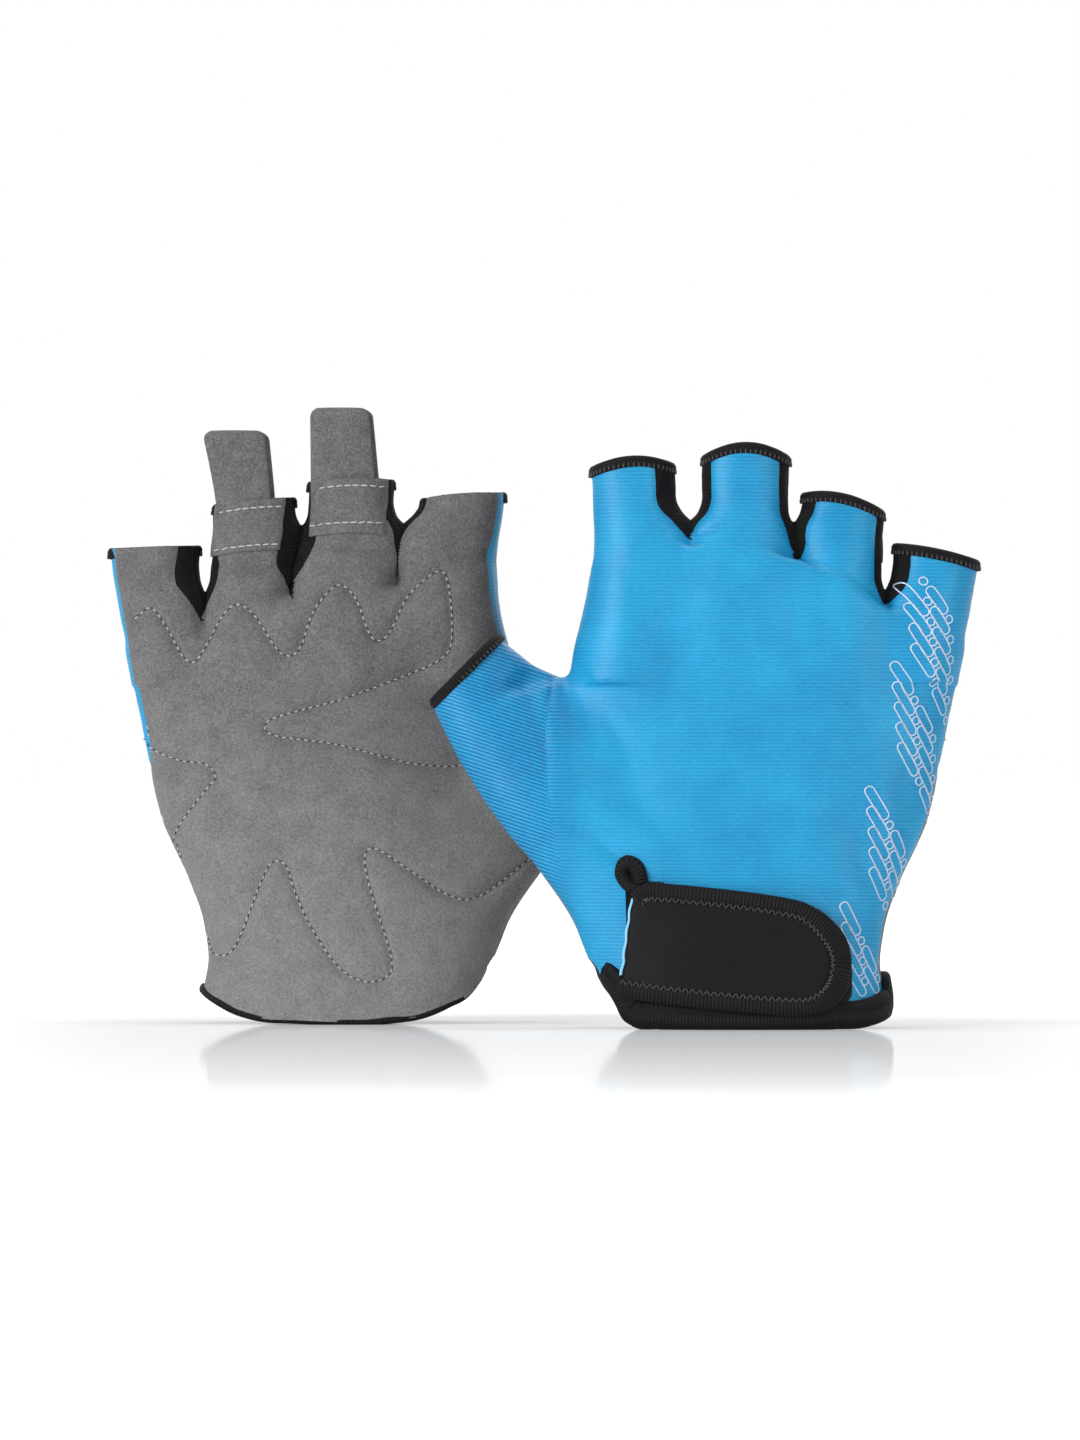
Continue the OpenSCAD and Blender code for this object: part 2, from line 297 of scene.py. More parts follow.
def back_fabric():
    """Satin stretch knit: fine cross ribs, clearest on the thumb, broken up by streaks and sparkle, with painted
    shade darkening the thumb.
    """
    material, tree, shader = new_material("back_fabric", 0.42, 0.3, 0.02)
    point = rest_point(tree)
    x = split_axes(tree, point)[0]
    across, along = cloth_uv(tree)
    flat = tree.nodes.new("ShaderNodeCombineXYZ")
    tree.links.new(across, flat.inputs[0])
    tree.links.new(along, flat.inputs[1])
    streak = noise(tree, flat.outputs[0], 1.0, 2, 0.6, (0.7, 3.0, 1))
    speck = noise(tree, flat.outputs[0], 1.0, 1, 0.5, (3.2, 4.5, 1))
    patch = noise(tree, point, 0.05, 2)
    rib = ribs(tree, math_node(tree, "ADD", along, math_node(tree, "MULTIPLY", streak, 0.35)), KNIT_PITCH)
    weight = ramp(tree, x, *RIB_FADE, 0.12, 0.4)
    tone = weighted_sum(tree, (rib, weight), (streak, 0.28), (speck, 0.3), (patch, 0.3))
    # Painted shade: the thumb's sleeve is darkened toward its outer edge
    tone = math_node(tree, "SUBTRACT", tone, ramp(tree, x, *THUMB_PAINTED_SHADE, 0.0, 0.24))
    paint(tree, shader, tone, (0.001, 0.13, 0.34), (0.02, 0.42, 0.72), 0.25, 0.75)
    ridge = math_node(tree, "MULTIPLY", weight, 2.0)
    bump(tree, shader, weighted_sum(tree, (rib, ridge), (streak, 0.5), (speck, 0.35)), 0.17)
    return material


def suede():
    """Brushed synthetic suede: mottled grey with short fibres lying in patches, with painted shade darkening it
    toward the fingers and painted light brightening it toward the wrist.
    """
    material, tree, shader = new_material("palm_suede", 0.9, 0.15, 0.12)
    point = rest_point(tree)
    z = split_axes(tree, point)[2]
    fibre = noise(tree, point, 1.5, 4, 0.75)
    cloud = noise(tree, point, 0.16, 3)
    speck = noise(tree, point, 3.2, 2)
    tone = weighted_sum(tree, (fibre, 0.5), (cloud, 0.14), (speck, 0.2))
    # Painted light and shade: lighter toward the wrist, darker toward the fingers
    tone = math_node(tree, "ADD", tone, ramp(tree, z, 0, 150, 0.05, -0.045))
    paint(tree, shader, tone, (0.088, 0.088, 0.09), (0.285, 0.285, 0.287), 0.31, 0.6)
    bump(tree, shader, weighted_sum(tree, (fibre, 1.0), (speck, 0.5)), 0.22)
    return material


def black_cloth(name, low, high, pitch_across, pitch_along, depth, rough, sheen=0.02):
    """Black knit or tape with ridges both ways and a little lint."""
    material, tree, shader = new_material(name, rough, 0.12, sheen)
    across, along = cloth_uv(tree)
    weave = math_node(tree, "MULTIPLY", ribs(tree, across, pitch_across), ribs(tree, along, pitch_along))
    lint = noise(tree, rest_point(tree), 2.2, 3, 0.7)
    paint(tree, shader, weighted_sum(tree, (weave, 0.5), (lint, 0.5)), low, high, 0.2, 0.8)
    bump(tree, shader, weighted_sum(tree, (weave, 1.0), (lint, 0.4)), depth)
    return material


def neoprene():
    """Smooth laminated foam with fine specks."""
    material, tree, shader = new_material("neoprene", 0.6, 0.13, 0.0)
    point = rest_point(tree)
    speck = noise(tree, point, 3.0, 4, 0.75)
    cloud = noise(tree, point, 0.12, 2)
    tone = weighted_sum(tree, (speck, 0.7), (cloud, 0.3))
    paint(tree, shader, tone, (0.003, 0.003, 0.0035), (0.009, 0.009, 0.01), 0.35, 0.75)
    bump(tree, shader, speck, 0.05)
    return material


def grained(name, finish, grain, low, high, depth):
    """A material with one fine grain for its colour and its relief."""
    material, tree, shader = new_material(name, *finish)
    tone = noise(tree, rest_point(tree), *grain)
    paint(tree, shader, tone, low, high)
    bump(tree, shader, tone, depth)
    return material


# Black cloths: darkest and lightest colour, pitch of the ridges across and along, relief, roughness, sheen
BLACK_CLOTHS = {
    "gusset_mesh": ((0.003, 0.003, 0.0035), (0.013, 0.013, 0.0145), 0.9, 0.9, 0.12, 0.85),
    "binding_tape": ((0.002, 0.002, 0.0025), (0.015, 0.015, 0.017), 0.95, 4.0, 0.26, 0.65),
    "strap_tape": ((0.0015, 0.0015, 0.002), (0.013, 0.013, 0.015), 1.05, 30.0, 0.3, 0.6),
    "hook_loop": ((0.006, 0.006, 0.007), (0.03, 0.03, 0.032), 0.5, 0.5, 0.25, 0.95, 0.08),
    "lining": ((0.02, 0.024, 0.03), (0.06, 0.066, 0.075), 0.7, 0.7, 0.1, 0.9),
}
# Threads: darkest and lightest colour
THREADS = {
    "dark_thread": ((0.012, 0.012, 0.013), (0.04, 0.04, 0.045)),
    "binding_thread": ((0.02, 0.02, 0.022), (0.06, 0.06, 0.065)),
    "stitch_thread": ((0.36, 0.36, 0.37), (0.6, 0.6, 0.61)),
    # The strap's sewn edge: a real raised edge, coloured pale as a painted highlight
    "seam_edge": ((0.16, 0.48, 0.78), (0.36, 0.7, 0.92)),
}
THREAD_FINISH = (0.6, 0.4, 0.2)
SILVER_FINISH = (0.38, 0.5, 0.0, 0.25)
FOAM_FINISH = (0.9, 0.2)
MATERIALS = {name: black_cloth(name, *values) for name, values in BLACK_CLOTHS.items()}
for thread, colours in THREADS.items():
    MATERIALS[thread] = grained(thread, THREAD_FINISH, (6.0, 2), *colours, 0.05)
MATERIALS["back_fabric"] = back_fabric()
MATERIALS["palm_suede"] = suede()
MATERIALS["neoprene"] = neoprene()
MATERIALS["reflective_print"] = grained(
    "reflective_print", SILVER_FINISH, (5.0, 2), (0.36, 0.46, 0.62), (0.62, 0.7, 0.82), 0.03)
MATERIALS["foam_pad"] = grained("foam_pad", FOAM_FINISH, (2.5, 3), (0.45, 0.45, 0.42), (0.6, 0.6, 0.56), 0.1)


# ---------------------------------------------------------------- lines and curves

def unit(vectors):
    return vectors / np.maximum(np.linalg.norm(vectors, axis=-1, keepdims=True), 1e-12)


def arc_lengths(line):
    """How far along a line each of its points is."""
    return np.concatenate([[0], np.cumsum(np.linalg.norm(np.diff(line, axis=0), axis=1))])


def read_off(at, length, values):
    """Values known at some lengths along a line, read off at others."""
    return np.stack([np.interp(at, length, values[:, k]) for k in range(values.shape[1])], 1)


def resample(line, count):
    length = arc_lengths(line)
    return read_off(np.linspace(0, length[-1], count), length, line)


def heading(path):
    """The way along a path at each of its points."""
    ends = np.concatenate([path[:1], path, path[-1:]])
    return unit(ends[2:] - ends[:-2])


# ---------------------------------------------------------------- curves and the glove's field

def curve(keys, t):
    """A smooth curve through (t, value) keys, held level past its ends."""
    keys = np.array(keys, float)
    at, value = keys[:, 0], keys[:, 1]
    slope = np.gradient(value, at)
    i = np.clip(np.searchsorted(at, t) - 1, 0, len(at) - 2)
    step = at[i + 1] - at[i]
    u = np.clip((t - at[i]) / step, 0, 1)
    a = (1 + 2 * u) * (1 - u) ** 2 * value[i] + u * (1 - u) ** 2 * step * slope[i]
    b = u * u * (3 - 2 * u) * value[i + 1] + u * u * (u - 1) * step * slope[i + 1]
    return a + b


def ease(t, start, end):
    u = np.clip((t - start) / (end - start), 0, 1)
    return u * u * (3 - 2 * u)


def smooth_min(a, b, k):
    h = np.clip(0.5 + 0.5 * (b - a) / k, 0, 1)
    return b * (1 - h) + a * h - k * h * (1 - h)


def oval_distance(a, b, half_a, half_b, power):
    """Rough distance outside a rounded flat oval."""
    u = np.abs(a) / half_a + 1e-9
    v = np.abs(b) / half_b + 1e-9
    g = (u**power + v**power) ** (1 / power)
    slope = g ** (1 - power) * np.sqrt((u ** (power - 1) / half_a) ** 2 + (v ** (power - 1) / half_b) ** 2)
    return (g - 1) / np.maximum(slope, 0.35 / half_b)


# Outline of the hand: (height, x) down each edge, and (height, half depth)
HAND_LEFT = [(-8, -39.6), (5, -39.2), (19, -41), (37, -44), (55, -46.5), (75, -48), (95, -48.8), (104, -47.2),
             (113, -44.4), (121, -42.7), (130, -41.9), (148, -42.2)]
HAND_RIGHT = [(-8, 41.4), (5, 40.2), (12, 38.7), (19, 37.9), (27, 38.8), (37, 41.6), (46, 45.4), (55, 49.6),
              (75, 54.2), (94, 58.4), (116, 62.6), (130, 64.8), (148, 67)]
HAND_DEPTH = [(-8, 20.6), (5, 19.8), (19, 18.4), (37, 17.6), (55, 17), (75, 16.5), (95, 16),
              (113, 15.4), (148, 14)]

# The thumb's own axis leans 45 degrees: s runs along it, w across it
THUMB_LOW = [(38, -18.5), (44, -16.6), (59, -11.4), (71, -9.6), (89, -7.4), (108, -3.6), (126, 2.8), (134, 5.5)]
THUMB_HIGH = [(38, 24), (70, 31), (90, 33), (107, 31.8), (112, 30.2), (118, 29.3), (126, 28.7), (134, 28.4)]
THUMB_DEPTH = [(38, 11.5), (60, 14), (80, 15), (95, 14.4), (108, 13.4), (126, 11.9), (134, 11.5)]
THUMB_SPLIT = 107.1
THUMB_TIP = 126.0

# How square the cross-sections are, where 2 is an ellipse
HAND_POWER = 2.45
FINGER_POWER = 2.35
THUMB_POWER = 2.2

FINGERS = ["index", "middle", "ring", "pinky"]
# Outline of each finger: its two edges, its half depth, and the height of its opening at the two edges
OUTLINES = {
    "index": {
        "left": [(90, -47), (113, -44.4), (121, -42.9), (130, -41.9), (147, -42.2), (157, -42.6), (170, -43)],
        "right": [(90, -15.1), (119, -15.2), (141, -15.2), (142.6, -17), (145, -18.7), (151, -19.4),
                  (157, -19.7), (170, -20.4)],
        "depth": [(90, 15.4), (119, 14.3), (130, 13.1), (157, 10.8), (170, 10.4)],
        "tip": (155.4, 156.4), "bulge": 2.4},
    "middle": {
        "left": [(90, -14.9), (119, -14.8), (141, -14.8), (142.6, -13.3), (145, -12.2), (151, -11.7),
                 (157, -11.6), (170, -11)],
        "right": [(90, 13.3), (140.5, 13.4), (142.5, 12.6), (146, 12.3), (160, 12.4), (172, 12.2)],
        "depth": [(90, 15.2), (119, 14.2), (134, 13.2), (161, 10.5), (172, 10.2)],
        "tip": (158.6, 158.4), "bulge": 3.6},
    "ring": {
        "left": [(85, 13.9), (128, 13.9), (140.5, 13.9), (142.5, 15.1), (145.5, 15.9), (149, 16.2), (160, 16.8)],
        "right": [(85, 38.6), (121.5, 38.7), (124, 37.9), (128, 37.7), (144, 38.6), (160, 39)],
        "depth": [(85, 15), (113, 13.8), (128, 12.8), (147, 10.2), (160, 9.8)],
        "tip": (148.2, 143.2), "bulge": 2.2},
    "pinky": {
        "left": [(78, 39.3), (121.5, 39.3), (124, 40.5), (127.5, 41.2), (134, 41.5), (146, 42.2)],
        "right": [(78, 54.6), (94, 58.2), (105, 60.3), (116, 62.4), (129, 64.8), (146, 66.6)],
        "depth": [(78, 14.4), (100, 13.2), (114, 12.4), (132, 9.6), (146, 9.2)],
        "tip": (134.2, 129.4), "bulge": 0.8},
}
CROTCH_X = [-15, 13.6, 39]
# Where the fingers spring from the hand: height at y = 0, and how it drops toward the palm
ROOT_HEIGHT = [(-60, 128.5), (-29, 128.2), (-15, 127.8), (0, 126.2), (13.6, 124.6), (26, 119.4), (39, 113.2),
               (51, 109.6), (70, 105)]
ROOT_SLOPE = [(-60, 0.6), (-15, 0.55), (0, 0.5), (26, 0.43), (39, 0.34), (51, 0.23), (70, 0.2)]


def thumb_axes(x, z):
    return (z - x) / math.sqrt(2), (z + x) / math.sqrt(2)


def root_surface(x, y):
    return curve(ROOT_HEIGHT, x) - curve(ROOT_SLOPE, x) * y


def finger_shape(name, z):
    """Centre, half width and half depth of a finger at a height."""
    outline = OUTLINES[name]
    left, right = curve(outline["left"], z), curve(outline["right"], z)
    return (left + right) / 2, (right - left) / 2, curve(outline["depth"], z)


def finger_field(name, x, y, z):
    centre, half, depth = finger_shape(name, z)
    return oval_distance(x - centre, y, half, depth, FINGER_POWER)


def thumb_field(x, y, z):
    s, w = thumb_axes(x, z)
    low, high = curve(THUMB_LOW, s), curve(THUMB_HIGH, s)
    body = oval_distance(w - (low + high) / 2, y, (high - low) / 2, curve(THUMB_DEPTH, s), THUMB_POWER)
    return np.maximum(body, 40 - s)


def field(x, y, z):
    """Below zero inside the glove, above zero outside, in millimetres near the surface."""
    left, right = curve(HAND_LEFT, z), curve(HAND_RIGHT, z)
    hand = oval_distance(x - (left + right) / 2, y, (right - left) / 2, curve(HAND_DEPTH, z), HAND_POWER)
    top = (z - root_surface(x, y)) * 0.85
    hand = -smooth_min(-hand, -top, 4)
    fingers = finger_field("index", x, y, z)
    for name in FINGERS[1:]:
        fingers = smooth_min(fingers, finger_field(name, x, y, z), 0.8)
    fingers = np.maximum(fingers, 96 - z)
    return smooth_min(smooth_min(hand, fingers, 2.6), thumb_field(x, y, z), 5)


def gradient(points):
    """The field's slope at each point."""
    step = 0.05
    slope = np.zeros_like(points)
    for axis in range(3):
        shift = np.zeros(3)
        shift[axis] = step
        ahead, behind = points + shift, points - shift
        slope[:, axis] = (field(*ahead.T) - field(*behind.T)) / (2 * step)
    return slope


def onto_surface(points, rounds=3):
    for _ in range(rounds):
        slope = gradient(points)
        size = np.maximum((slope**2).sum(1), 0.05)
        move = slope * (field(*points.T) / size)[:, None]
        length = np.linalg.norm(move, axis=1)
        points = points - move * np.minimum(1, 1.5 / np.maximum(length, 1e-9))[:, None]
    return points


# ---------------------------------------------------------------- meshing the field

def surface_net(step):
    """Points and triangles of the field's zero set, one point to each grid cell that it crosses."""
    low, high = np.array([-97.0, -22.5, -7.0]), np.array([72.0, 22.5, 170.0])
    axes = [np.arange(a, b, step) for a, b in zip(low, high)]
    value = field(axes[0][:, None, None], axes[1][None, :, None], axes[2][None, None, :])
    inside = value < 0
    nx, ny, nz = value.shape
    total = np.zeros((nx - 1, ny - 1, nz - 1, 3))
    count = np.zeros((nx - 1, ny - 1, nz - 1))
    corner = lambda a, i, j, k: a[i:nx - 1 + i, j:ny - 1 + j, k:nz - 1 + k]
    for axis in range(3):
        for p in (0, 1):
            for q in (0, 1):
                first = [p, q]
                first.insert(axis, 0)
                second = list(first)
                second[axis] = 1
                a, b = corner(value, *first), corner(value, *second)
                crossed = corner(inside, *first) != corner(inside, *second)
                share = np.where(crossed, a / np.where(crossed, a - b, 1), 0)
                for k in range(3):
                    total[..., k] += crossed * (share if k == axis else first[k])
                count += crossed
    used = count > 0
    number = np.full(used.shape, -1)
    number[used] = np.arange(used.sum())
    cell = np.argwhere(used)
    points = low + (cell + total[used] / count[used][:, None]) * step
    quads = []
    for axis in range(3):
        u, v = (axis + 1) % 3, (axis + 2) % 3
        a = np.take(inside, range(0, inside.shape[axis] - 1), axis)
        b = np.take(inside, range(1, inside.shape[axis]), axis)
        edge = np.argwhere(a != b)
        edge = edge[(edge[:, u] > 0) & (edge[:, v] > 0)]
        edge = edge[(edge[:, u] < inside.shape[u] - 1) & (edge[:, v] < inside.shape[v] - 1)]
        going_out = a[tuple(edge.T)]
        du, dv = np.zeros(3, int), np.zeros(3, int)
        du[u], dv[v] = 1, 1
        ring = [number[tuple((edge - k).T)] for k in (du + dv, dv, 0 * du, du)]
        ring = np.stack(ring, 1)
        ring[~going_out] = ring[~going_out][:, ::-1]
        quads.append(ring)
    quads = np.concatenate(quads)
    quads = quads[(quads >= 0).all(1)]
    return points, np.concatenate([quads[:, [0, 1, 2]], quads[:, [0, 2, 3]]])


def vertex_normals(points, triangles):
    a, b, c = (points[triangles[:, k]] for k in range(3))
    face = np.cross(b - a, c - a)
    normal = np.zeros_like(points)
    for k in range(3):
        np.add.at(normal, triangles[:, k], face)
    return normal / np.maximum(np.linalg.norm(normal, axis=1), 1e-12)[:, None]


def relax(points, triangles, rounds):
    """Evens out the mesh along the surface and puts it back on the surface each time."""
    edges = np.concatenate([triangles[:, [0, 1]], triangles[:, [1, 2]], triangles[:, [2, 0]]])
    for _ in range(rounds):
        total, count = np.zeros_like(points), np.zeros(len(points))
        for a, b in ((0, 1), (1, 0)):
            np.add.at(total, edges[:, a], points[edges[:, b]])
            np.add.at(count, edges[:, a], 1)
        target = total / np.maximum(count, 1)[:, None]
        points = onto_surface(points + 0.6 * (target - points), 1)
    return onto_surface(points, 2)


def cut(points, triangles, value):
    """Splits the triangles along value = 0, so that the line falls on their edges."""
    value = np.where(np.abs(value) < 0.08, 0, value)
    pairs = np.sort(np.concatenate([triangles[:, [0, 1]], triangles[:, [1, 2]], triangles[:, [2, 0]]]), axis=1)
    edges, which = np.unique(pairs, axis=0, return_inverse=True)
    which = which.reshape(3, -1).T
    va, vb = value[edges[:, 0]], value[edges[:, 1]]
    crossed = va * vb < 0
    share = va[crossed] / (va[crossed] - vb[crossed])
    new = points[edges[crossed, 0]] * (1 - share)[:, None] + points[edges[crossed, 1]] * share[:, None]
    number = np.full(len(edges), -1)
    number[crossed] = len(points) + np.arange(crossed.sum())
    on_edge = number[which]
    hits = (on_edge >= 0).sum(1)
    out = [triangles[hits == 0]]
    for k in range(3):
        # One edge is crossed and the line leaves through the opposite corner
        one = (hits == 1) & (on_edge[:, k] >= 0)
        a, b, c = triangles[one, k], triangles[one, (k + 1) % 3], triangles[one, (k + 2) % 3]
        m = on_edge[one, k]
        out += [np.stack([a, m, c], 1), np.stack([m, b, c], 1)]
        # Two edges are crossed, and corner k is alone on its side
        two = (hits == 2) & (on_edge[:, k] >= 0) & (on_edge[:, (k + 2) % 3] >= 0)
        a, b, c = triangles[two, k], triangles[two, (k + 1) % 3], triangles[two, (k + 2) % 3]
        m, n = on_edge[two, k], on_edge[two, (k + 2) % 3]
        out += [np.stack([a, m, n], 1), np.stack([m, b, c], 1), np.stack([m, c, n], 1)]
    return np.concatenate([points, new]), np.concatenate(out)


# ---------------------------------------------------------------- seams and panels

# Height of the side seam toward the palm, down each edge of the hand
LEFT_SEAM = [(0, 0), (60, 1), (85, 3), (105, 7), (160, 7)]
RIGHT_SEAM = [(0, -3.5), (50, -2.5), (68, -1.5), (76, 3.5), (90, 5), (140, 5)]
THUMB_SEAM = [(0, -40), (25, -45), (45, -51), (70, -55), (88, -54.6), (99, -52.4), (120, -50)]
# Height of the wrist edge across the back and across the palm, as (x, height)
HEM_BACK = [(-43, 18.5), (-41, 16), (-39.6, 13), (-37.6, 9.8), (-35.8, 6.6), (-34, 2.8), (-31.5, 0.8), (-24, 0),
            (24, 0), (34, 0.6), (39, 2.4), (42, 5)]
HEM_PALM = [(-43, 18), (-41, 15.5), (-39, 11.5), (-36.5, 8), (-30.8, 4.6), (-24, 1.8), (-14, 0.2), (12, 0.2), (24, 1),
            (33, 4), (38.9, 7.8), (42, 11)]
# Width of each finger's black side panels, as (thumb side, little-finger side), on the back and the palm
SIDE_BACK = {"index": (0, 5.4), "middle": (2.2, 2.4), "ring": (3.6, 2.0), "pinky": (4.4, 0)}
SIDE_PALM = {"index": (0, 1.0), "middle": (3.0, 4.0), "ring": (4.8, 1.0), "pinky": (4.6, 0)}


def side_seam(x, y, z):
    return y - np.where(x < 5, curve(LEFT_SEAM, z), curve(RIGHT_SEAM, z))


def thumb_seam(x, z):
    return x - curve(THUMB_SEAM, z)


def side_panel(name, side, x, y, z):
    """Above zero on a finger's black side panel: side 0 faces the thumb, side 1 the little finger."""
    centre, half, _ = finger_shape(name, z)
    edge_distance = x - (centre - half) if side == 0 else (centre + half) - x
    crotch = CROTCH_X[FINGERS.index(name) - 1 + side]
    rise = z - root_surface(crotch, y)
    on_palm = ease(y, -4, 4)
    back = SIDE_BACK[name][side] * np.clip((rise - 2) / 3.5, 0, 1) ** 0.38
    palm = SIDE_PALM[name][side] * np.sqrt(np.clip(rise / 14, 0, 1))
    palm = palm + 1.6 * np.exp(-(((rise - 14) / 8) ** 2)) * (SIDE_PALM[name][side] > 0)
    return np.where(rise > 0, back * (1 - on_palm) + palm * on_palm, -1) - edge_distance


def tip_height(name, x, glove):
    """The opening's edge: a soft arch on the second glove, flatter and lower on the first."""
    outline = OUTLINES[name]
    left, right = glove["tips"].get(name, outline["tip"])
    centre, half, _ = finger_shape(name, np.array((left + right) / 2))
    u = np.clip((x - centre) / half, -1.2, 1.2)
    return (left + right) / 2 + (right - left) / 2 * u + outline["bulge"] * glove["arch"] * (1 - u * u)


def hem_height(glove, x, y):
    """The wrist edge: low across the back and the palm, and rising round both sides."""
    on_palm = ease(y, -5, 5)
    back = curve(HEM_BACK, x)
    if glove["palm_front"]:
        back = np.maximum(back, curve(HEM_PALM, x) + 0.6)
    return back * (1 - on_palm) + curve(HEM_PALM, x) * on_palm


def finger_of(x):
    return np.searchsorted(CROTCH_X, x)


def hand_mesh(glove):
    """The whole outer surface, cut along every seam and opening, with a name for each triangle."""
    points, triangles = surface_net(GRID)
    points = relax(onto_surface(points), triangles, 4)

    def cut_by(function):
        nonlocal points, triangles
        before = len(points)
        points, triangles = cut(points, triangles, function(*points.T))
        points[before:] = onto_surface(points[before:], 1)

    cut_by(lambda x, y, z: z - hem_height(glove, x, y) - 1)
    cut_by(lambda x, y, z: z - root_surface(x, y))
    cut_by(lambda x, y, z: thumb_axes(x, z)[0] - THUMB_SPLIT)
    cut_by(lambda x, y, z: thumb_axes(x, z)[0] - THUMB_TIP)
    cut_by(side_seam)
    cut_by(lambda x, y, z: np.where(y < 0, slit_width(x, z), -1))
    cut_by(lambda x, y, z: thumb_seam(x, z))
    for name in FINGERS:
        cut_by(lambda x, y, z: z - tip_height(name, x, glove))
        for side in (0, 1):
            if SIDE_PALM[name][side] > 0:
                cut_by(lambda x, y, z: side_panel(name, side, x, y, z))

    x, y, z = points[triangles].mean(1).T
    label = np.full(len(triangles), "back_panel", dtype="<U20")
    s = thumb_axes(x, z)[0]
    on_palm = side_seam(x, y, z) > 0
    label[on_palm] = "palm_panel"
    label[~on_palm & (thumb_seam(x, z) < 0)] = "thumb_gusset"
    on_thumb = (s > THUMB_SPLIT) & (x < -50)
    label[on_thumb] = "thumb_back"
    label[on_thumb & on_palm] = "thumb_palm"
    on_finger = (z > root_surface(x, y)) & ~on_thumb & (x > -50)
    for i, name in enumerate(FINGERS):
        mine = on_finger & (finger_of(x) == i)
        label[mine] = name + "_back"
        palm_face = y > 0
        if name in ("index", "pinky"):
            outer_half = (x < -29) if name == "index" else (x > 52)
            palm_face = np.where(outer_half, side_seam(x, y, z) > 0, y > 0)
        label[mine & palm_face] = name + "_palm"
        for side in (0, 1):
            if SIDE_PALM[name][side] > 0:
                label[mine & (side_panel(name, side, x, y, z) > 0)] = name + "_gusset"
        label[mine & (z > tip_height(name, x, glove))] = ""
    label[on_thumb & (s > THUMB_TIP)] = ""
    label[z < hem_height(glove, x, y) + 1] = ""
    label[(slit_width(x, z) > 0) & (y < 0)] = ""
    keep = label != ""
    return points, triangles[keep], label[keep]


# ---------------------------------------------------------------- Blender pieces

GRID = 1.0
FABRIC = 1.2


def glove_frame(name, facing):
    """Where the glove's own frame stands in the row frame, from its CAD wrist binding."""
    low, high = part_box(name + "_wrist_binding")
    middle = (low + high) / 2
    return {"name": name, "facing": facing, "origin": np.array([middle.x - facing * 0.55 * MM, middle.y, 0.0])}


def to_world(glove, points):
    """From the glove's frame to the row frame, with the first glove's fingers and thumb leaning."""
    points = np.array(points, float).reshape(-1, 3)
    x, z = points[:, 0].copy(), points[:, 2].copy()
    more = 1 + 0.3 * (1 - ease(x, -24, -14))
    points[:, 0] -= glove["lean"] * more * ease(z, 112, 152) * (1 - ease(x, 38, 50))
    points[:, 2] -= glove["droop"] * ease(-x, 49, 62) * ease(z, 40, 70)
    turn = np.array([glove["facing"], glove["facing"], 1.0])
    return points * turn * MM + glove["origin"]


def turn_world(glove, vectors):
    return vectors * np.array([glove["facing"], glove["facing"], 1.0])


def make_piece(glove, name, points, faces, material, uv=None, normals=None, inner=None,
               corners=None):
    """A mesh object in the row frame, carrying its rest position and its cloth coordinates."""
    mesh = bpy.data.meshes.new(name)
    mesh.from_pydata(to_world(glove, points).tolist(), [], [list(map(int, f)) for f in faces])
    mesh.materials.append(MATERIALS[material])
    rest = mesh.attributes.new("rest", "FLOAT_VECTOR", "POINT")
    rest.data.foreach_set("vector", points.astype(np.float32).ravel())
    if uv is None:
        uv = np.stack([points[:, 0] + np.abs(points[:, 1]), points[:, 2]], 1)
    layer = mesh.uv_layers.new(name="cloth")
    if corners is None:
        corner = np.zeros(len(mesh.loops), np.int32)
        mesh.loops.foreach_get("vertex_index", corner)
        corners = uv[corner]
    layer.data.foreach_set("uv", np.asarray(corners, np.float32).ravel())
    mesh.polygons.foreach_set("use_smooth", np.ones(len(mesh.polygons), bool))
    if inner is not None:
        mesh.materials.append(MATERIALS["lining"])
        mesh.polygons.foreach_set("material_index", inner.astype(np.int32))
    if normals is not None:
        mesh.normals_split_custom_set_from_vertices(turn_world(glove, normals).tolist())
    mesh.update()
    piece = bpy.data.objects.new(glove["name"] + "_" + name, mesh)
    bpy.context.scene.collection.objects.link(piece)
    return piece


def boundary_edges(triangles):
    """The directed edges that only one triangle has."""
    edges = np.concatenate([triangles[:, [0, 1]], triangles[:, [1, 2]], triangles[:, [2, 0]]])
    known = {(int(a), int(b)) for a, b in edges}
    return [(a, b) for a, b in known if (b, a) not in known]


def thicken(points, triangles, normals, thickness):
    """A closed shell: the given surface outside, and the same one inside, joined at the rims."""
    used, local = np.unique(triangles, return_inverse=True)
    outer = local.reshape(-1, 3)
    count = len(used)
    inner_points = points[used] - normals[used] * thickness
    rim = [(b, a, a + count, b + count) for a, b in boundary_edges(outer)]
    rim.sort()
    faces = outer.tolist() + (outer[:, ::-1] + count).tolist() + rim
    inner = np.array([0] * len(outer) + [1] * len(outer) + [0] * len(rim))
    all_points = np.concatenate([points[used], inner_points])
    all_normals = np.concatenate([normals[used], -normals[used]])
    return all_points, faces, all_normals, inner


# Where a finger's root is measured, how deep it is there, and how far the fabric takes to bend
ROOT_LEVEL = 125.0
ROOT_HALF_DEPTH = 13
FINGER_BEND = 13.0
# The thumb's bend: its middle across the thumb, and its length
THUMB_MIDDLE = 14
THUMB_BEND = 12


